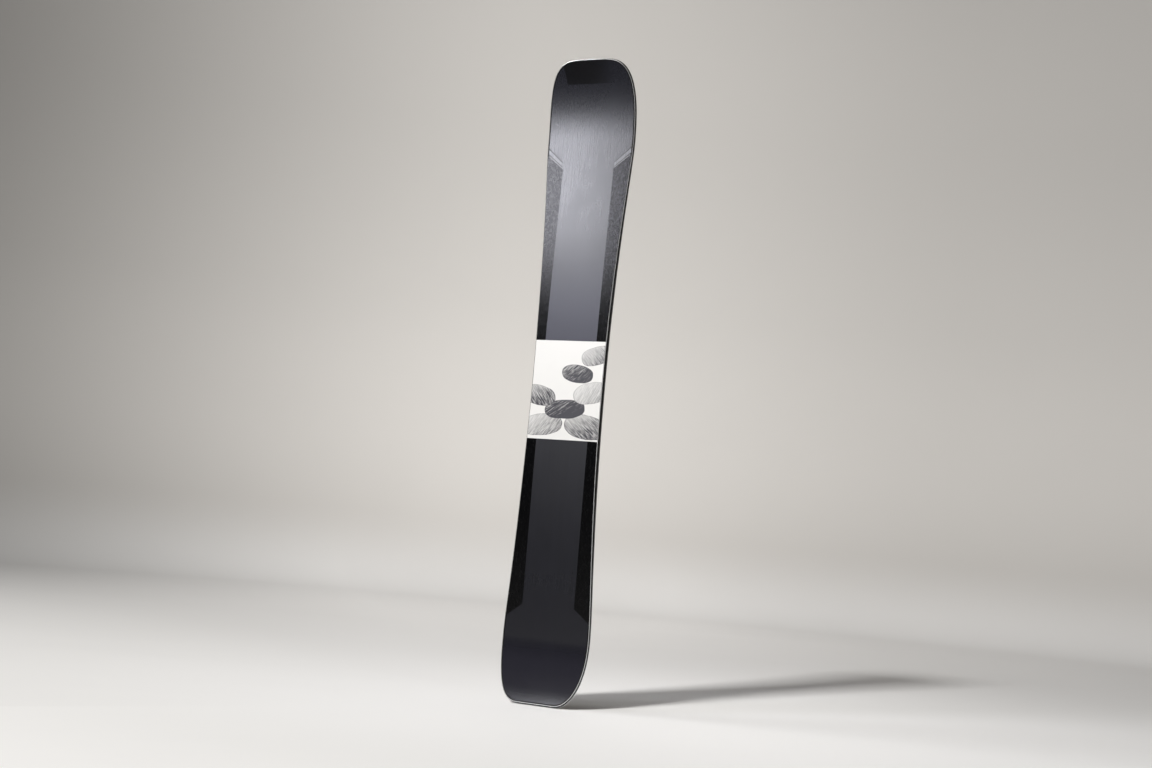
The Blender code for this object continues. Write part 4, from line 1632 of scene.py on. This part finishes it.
@dataclass
class LayerStack:
    """Layers between the topsheet and the running base, whose edges show at the side."""

    shop: Workshop
    edge_width: float = 0.0025
    edge_height: float = 0.0020
    tang_width: float = 0.0055
    tang_low: float = 0.0015
    base_thickness: float = 0.0012
    rubber_high: float = 0.0029
    laminate_high: float = 0.0038
    flange_inset: float = 0.0083
    laminate_low: float = 0.0015
    laminate_web_high: float = 0.0021
    step_inset: float = 0.0089
    core_inset: float = 0.0092
    core_low: float = 0.0024
    burr: float = 0.00015
    lip_width: float = 0.0003
    bevel_height: float = 0.0006

    @property
    def tang_inset(self) -> float:
        """Inset of the inner side of the edges' tangs."""
        return self.edge_width + self.tang_width

    def running_stretch(self, inset: float) -> Line:
        """Stretch of an inset outline between the two widest places."""
        return self.shop.form.span(inset, self.shop.form.tail_widest, self.shop.form.tip_widest)

    def half_wrap(self, inset: float) -> Line:
        """Half of an inset outline, from the middle of the tail to the middle of the tip."""
        form = self.shop.form
        return [Vector((0.0, inset))] + form.inset(inset) + [Vector((0.0, form.length - inset))]

    def lip_high(self, place: float) -> float:
        """Height of the thin black lip that holds the metal sheet."""
        return self.shop.form.alloy_high(place) - self.burr

    def bevel_high(self, place: float) -> float:
        """Height that the bevel of the metal sheet's cut edge reaches beside the topsheet."""
        return self.shop.form.alloy_high(place) + self.bevel_height

    def build_alloy(self, finish: Material) -> None:
        """Metal sheet under the topsheet, whose bevelled cut edge shows as a bright rim.

        Args:
            finish: Material of what it builds.
        """
        form = self.shop.form
        section = [(self.lip_width, form.alloy_low), (self.lip_width, self.lip_high),
                   (form.rim_width, self.bevel_high), (form.rim_width, form.alloy_high)]
        self.shop.dress(self.shop.across("rim_alloy_sheet", section), finish, Slot.ALLOY, "upper_laminate")

    def build_sides(self, sidewall: Material, spacer: Material) -> None:
        """Sidewalls between the widest places, and the spacers of both ends.

        Args:
            sidewall: Material of the sidewalls.
            spacer: Material of the spacers.
        """
        form = self.shop.form
        outer = [(self.core_inset, self.laminate_high), (0.0, self.laminate_high), (0.0, self.lip_high),
                 (self.lip_width, self.lip_high), (self.lip_width, form.alloy_low)]
        for side in Side:
            name = f"sidewall_{side.word}"
            section = outer + [(self.core_inset, form.alloy_low)]
            piece = self.shop.rail("polished_" + name, self.running_stretch, section, side)
            self.shop.dress(piece, sidewall, Slot.SIDEWALL, name)
        for name, start, end in (("tip_spacer", form.tip_widest, None), ("tail_spacer", None, form.tail_widest)):
            section = [(self.core_inset, self.core_low)] + outer
            piece = self.shop.across("polished_" + name, section, start, end)
            self.shop.dress(piece, spacer, Slot.SPACER, name)

    def build_fibre(self, finish: Material) -> None:
        """Fibre sheet that steps up over the tangs of the edges.

        Args:
            finish: Material of what it builds.
        """
        section = [(self.flange_inset, self.laminate_low), (self.flange_inset, self.rubber_high),
                   (0.0, self.rubber_high), (0.0, self.laminate_high), (self.step_inset, self.laminate_high),
                   (self.step_inset, self.laminate_web_high)]
        self.shop.dress(self.shop.across("fibre_sheet", section), finish, Slot.LAMINATE, "lower_laminate")

    def build_rubber(self, finish: Material) -> None:
        """Rubber strips between the edges and the fibre sheet.

        Args:
            finish: Material of what it builds.
        """
        section = [(0.0, self.edge_height), (0.0, self.rubber_high), (self.tang_inset, self.rubber_high),
                   (self.tang_inset, self.edge_height)]
        for side in Side:
            name = f"damping_{side.word}"
            piece = self.shop.rail("strip_" + name, self.half_wrap, section, side)
            self.shop.dress(piece, finish, Slot.RUBBER, name)

    def build_edges(self, finish: Material) -> None:
        """Steel edges in four lengths.

        Args:
            finish: Material of what it builds.
        """
        form = self.shop.form
        section = [(self.burr, 0.0), (0.0, self.burr), (0.0, self.edge_height), (self.tang_inset, self.edge_height),
                   (self.tang_inset, self.tang_low), (self.edge_width, self.tang_low), (self.edge_width, 0.0)]
        paths = [("edge_tip", self.shop.wrap(SkiEnd.FRONT, form.tip_widest), Side.RIGHT),
                 ("edge_tail", self.shop.wrap(SkiEnd.REAR, form.tail_widest), Side.RIGHT)]
        paths += [(f"edge_{side.word}", self.running_stretch, side) for side in Side]
        for name, path, side in paths:
            self.shop.dress(self.shop.rail("ground_" + name, path, section, side), finish, Slot.STEEL, name)

    def build_base(self, finish: Material) -> None:
        """Running base in two pieces that meet at the waist.

        Args:
            finish: Material of what it builds.
        """
        waist = self.shop.form.waist_place
        section = [(self.edge_width, 0.0), (self.edge_width, self.base_thickness)]
        for name, start, end in (("base_front", waist, None), ("base_rear", None, waist)):
            piece = self.shop.across("ground_" + name, section, start, end)
            self.shop.dress(piece, finish, Slot.BASE, name)


@dataclass
class InnerCore:
    """Wood strips and reinforcement inside the ski, which keep their CAD solids."""

    frame: dict[str, Any]
    strip_count: int = 7

    def dress(self, wood: Material, sheet: Material) -> None:
        """Put the materials on the CAD solids.

        Args:
            wood: Material of the wood strips.
            sheet: Material of the reinforcement.
        """
        finishes = {f"core_stringer_{number}": wood for number in range(1, self.strip_count + 1)}
        finishes["binding_reinforcement"] = sheet
        for name, finish in finishes.items():
            self.frame["nodes"][name].material_slots[0].material = finish
            LOG.info("node %s keeps its solid", name)


@dataclass(frozen=True)
class Lamp:
    """Soft rectangular lamp that the camera doesn't see, in metres, watts and degrees."""

    name: str
    spot: Triple
    target: Triple
    width: float
    height: float
    power: float
    colour: Colour = (1.0, 1.0, 1.0)
    spread: float = 180.0

    def build(self) -> Object:
        """Put the lamp in the scene.

        Returns:
            The lamp's object.
        """
        light = bpy.data.lights.new(self.name, "AREA")
        light.shape = "RECTANGLE"
        light.size, light.size_y = self.width, self.height
        light.energy = self.power
        light.color = self.colour
        light.spread = math.radians(self.spread)
        lamp = add_object(self.name, light)
        lamp.location = self.spot
        lamp.rotation_euler = (Vector(self.target) - Vector(self.spot)).to_track_quat("-Z", "Y").to_euler()
        lamp.visible_camera = False
        LOG.info("lamp %s, %.2f W", self.name, self.power)
        return lamp


KEY_LIGHT = Lamp("key_light", (-1.16, -8.30, 5.50), (0.0, 0.0, 0.35), 1.1, 1.1, 805.0, (1.0, 0.99, 0.97))


@dataclass
class Studio:
    """Pale floor that curves up into a wall, open where the key light stands, and the lamps."""

    radius: float = 5.2
    bend_radius: float = 1.4
    height: float = 4.5
    steps_round: int = 120
    steps_flat: int = 6
    steps_up: int = 16
    opening_middle: float = -114.0
    opening_half: float = 34.0
    room_colour: Colour = (0.03, 0.029, 0.028)
    lamps: tuple[Lamp, ...] = (
        KEY_LIGHT,
        Lamp("sheen_box", (-0.617, -1.156, 1.15), (0.0, 0.0, 0.70), 0.25, 0.34, 1.32, (0.975, 0.98, 1.07), 80.0),
        Lamp("overhead_box", (-0.2, 0.9, 4.2), (-0.2, 0.9, 0.0), 1.8, 1.8, 2.2, (1.0, 0.90, 0.80), 110.0),
        Lamp("wall_box", (-0.8, 2.9, 2.6), (-1.95, 4.75, 0.9), 2.4, 0.6, 13.5, (1.0, 0.98, 0.955)),
        Lamp("rear_box", (-1.0, 2.6, 3.6), (-0.8, 2.5, 0.0), 1.6, 1.2, 5.0, (1.0, 0.95, 0.90), 90.0),
        Lamp("rim_box", (-1.30, -0.75, 2.30), (0.0, 0.0, 0.99), 0.8, 0.5, 1.6, spread=40.0),
        Lamp("edge_box", (1.90, -1.30, 0.75), (0.0, 0.0, 0.60), 0.35, 1.1, 0.42, spread=60.0),
    )
    paper_light: Lamp = replace(KEY_LIGHT, name="paper_light", power=440.0)

    def profile(self) -> list[Pair]:
        """Distances from the middle and heights, from the floor's middle to the top of the wall.

        Returns:
            Pairs of a distance and a height.
        """
        flat = self.radius - self.bend_radius
        points = [(flat * step / self.steps_flat, 0.0) for step in range(self.steps_flat + 1)]
        for step in range(1, self.steps_up + 1):
            turn = math.pi / 2 * step / self.steps_up
            points.append((flat + self.bend_radius * math.sin(turn), self.bend_radius * (1 - math.cos(turn))))
        return points + [(self.radius, self.height)]

    def build_cove(self, finish: Material) -> Object:
        """Floor and wall in one surface.

        Args:
            finish: Pale backdrop material.

        Returns:
            The mesh object.
        """
        shape = bmesh.new()
        profile = self.profile()
        centre = shape.verts.new((0.0, 0.0, 0.0))
        columns = []
        for step in range(self.steps_round):
            turn = 2 * math.pi * step / self.steps_round
            columns.append([shape.verts.new((reach * math.cos(turn), reach * math.sin(turn), high))
                            for reach, high in profile[1:]])
        for step, (here, beside) in enumerate(zip(columns, columns[1:] + columns[:1])):
            shape.faces.new((centre, here[0], beside[0]))
            middle = 360.0 * (step + 0.5) / self.steps_round
            away = (middle - self.opening_middle + 180.0) % 360.0 - 180.0
            rings = self.steps_flat if abs(away) < self.opening_half else len(profile) - 1
            for ring in range(rings - 1):
                shape.faces.new((here[ring], here[ring + 1], beside[ring + 1], beside[ring]))
        loose = [vert for vert in shape.verts if not vert.link_faces]
        bmesh.ops.delete(shape, geom=loose, context="VERTS")
        cove = add_mesh("studio_cove", shape)
        cove.data.materials.append(finish)
        return cove

    def build_world(self) -> None:
        """Dim grey world beyond the opening."""
        world = bpy.data.worlds.new("studio_room")
        world.use_nodes = True
        back = world.node_tree.nodes["Background"]
        back.inputs["Color"].default_value = shade(self.room_colour)
        back.inputs["Strength"].default_value = 1.0
        bpy.context.scene.world = world

    def build(self, finish: Material) -> None:
        """Build the cove, the world and the lamps, one of which lights the cove alone.

        Args:
            finish: Pale backdrop material.
        """
        cove = self.build_cove(finish)
        self.build_world()
        for lamp in self.lamps:
            lamp.build()
        receivers = bpy.data.collections.new("studio_paper")
        receivers.objects.link(cove)
        self.paper_light.build().light_linking.receiver_collection = receivers


@dataclass
class PhotoCamera:
    """Camera at the photograph's angle."""

    azimuth: float = math.radians(24.0)
    elevation: float = math.radians(-6.4436)
    roll: float = math.radians(5.2215)
    distance: float = 2.3331
    focal_length: float = 47.66
    sensor_width: float = 36.0
    shift_across: float = 0.00444
    shift_up: float = -0.00605

    def build(self, form: SkiForm) -> None:
        """Place the camera and make it the scene's own.

        Args:
            form: Form of the ski that it looks at.
        """
        lens = bpy.data.cameras.new("photo_camera")
        lens.lens = self.focal_length
        lens.sensor_width = self.sensor_width
        lens.shift_x = self.shift_across
        lens.shift_y = self.shift_up
        level = math.cos(self.elevation)
        away = Vector((math.sin(self.azimuth) * level, -math.cos(self.azimuth) * level, math.sin(self.elevation)))
        right = (-away).cross(Vector((0.0, 0.0, 1.0))).normalized()
        up = right.cross(-away)
        tilted_right = right * math.cos(self.roll) + up * math.sin(self.roll)
        tilted_up = up * math.cos(self.roll) - right * math.sin(self.roll)
        spot = away * self.distance + Vector((0.0, form.shift, form.length / 2))
        camera = add_object("photo_camera", lens)
        camera.matrix_world = Matrix.Translation(spot) @ Matrix((tilted_right, tilted_up, away)).transposed().to_4x4()
        bpy.context.scene.camera = camera


BORDER_PRINT = PlasticFinish("border_print", (0.002, 0.002, 0.0026), 0.50, wear=0.0, specular=0.15)
ALLOY_RIM = MetalFinish("alloy_rim", (0.86, 0.86, 0.87), 0.42, across=900.0, along=25.0)
SIDEWALL_GLOSS = PlasticFinish("sidewall_gloss", (0.0035, 0.0035, 0.0040), 0.22, wear=0.02, specular=0.3, ior=1.22)
SPACER_GLOSS = replace(SIDEWALL_GLOSS, name="spacer_gloss", colour=(0.0040, 0.0040, 0.0045), roughness=0.24)
DARK_FIBRE = FibreFinish("dark_fibre", (0.010, 0.010, 0.009), 0.42, threads=700.0)
DAMPING_BLACK = PlasticFinish("damping_black", (0.008, 0.008, 0.008), 0.75, depth=0.00003, specular=0.2, ior=1.3)
GROUND_STEEL = MetalFinish("ground_steel", (0.70, 0.70, 0.715), 0.33, across=2200.0, along=18.0)
GROUND_BASE = PlasticFinish("ground_base", (0.012, 0.012, 0.013), 0.36, 1300.0, 5.0, depth=0.00003, wear=0.05)
REINFORCEMENT = FibreFinish("reinforcement", (0.25, 0.24, 0.20), 0.50, threads=900.0)


def main() -> None:
    """Load the frame and build each sub-assembly in order."""
    logging.basicConfig(level=logging.INFO, format="%(name)s: %(message)s")
    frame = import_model()
    bpy.context.scene.view_settings.view_transform = "Standard"

    form = SkiForm()
    shop = Workshop(form)
    effects = Effects()
    TopsheetPrint(shop).build(charcoal=CharcoalFinish().make(effects), black=PanelFinish().make(effects),
                              border=BORDER_PRINT.make(effects), white=WaistFinish().make(effects))
    layers = LayerStack(shop)
    layers.build_alloy(ALLOY_RIM.make(effects))
    layers.build_sides(SIDEWALL_GLOSS.make(effects), SPACER_GLOSS.make(effects))
    layers.build_fibre(DARK_FIBRE.make(effects))
    layers.build_rubber(DAMPING_BLACK.make(effects))
    layers.build_edges(GROUND_STEEL.make(effects))
    layers.build_base(GROUND_BASE.make(effects))
    InnerCore(frame).dress(WoodFinish().make(effects), REINFORCEMENT.make(effects))
    Studio().build(BackdropFinish().make(effects))
    PhotoCamera().build(form)


if __name__ == "__main__":
    main()
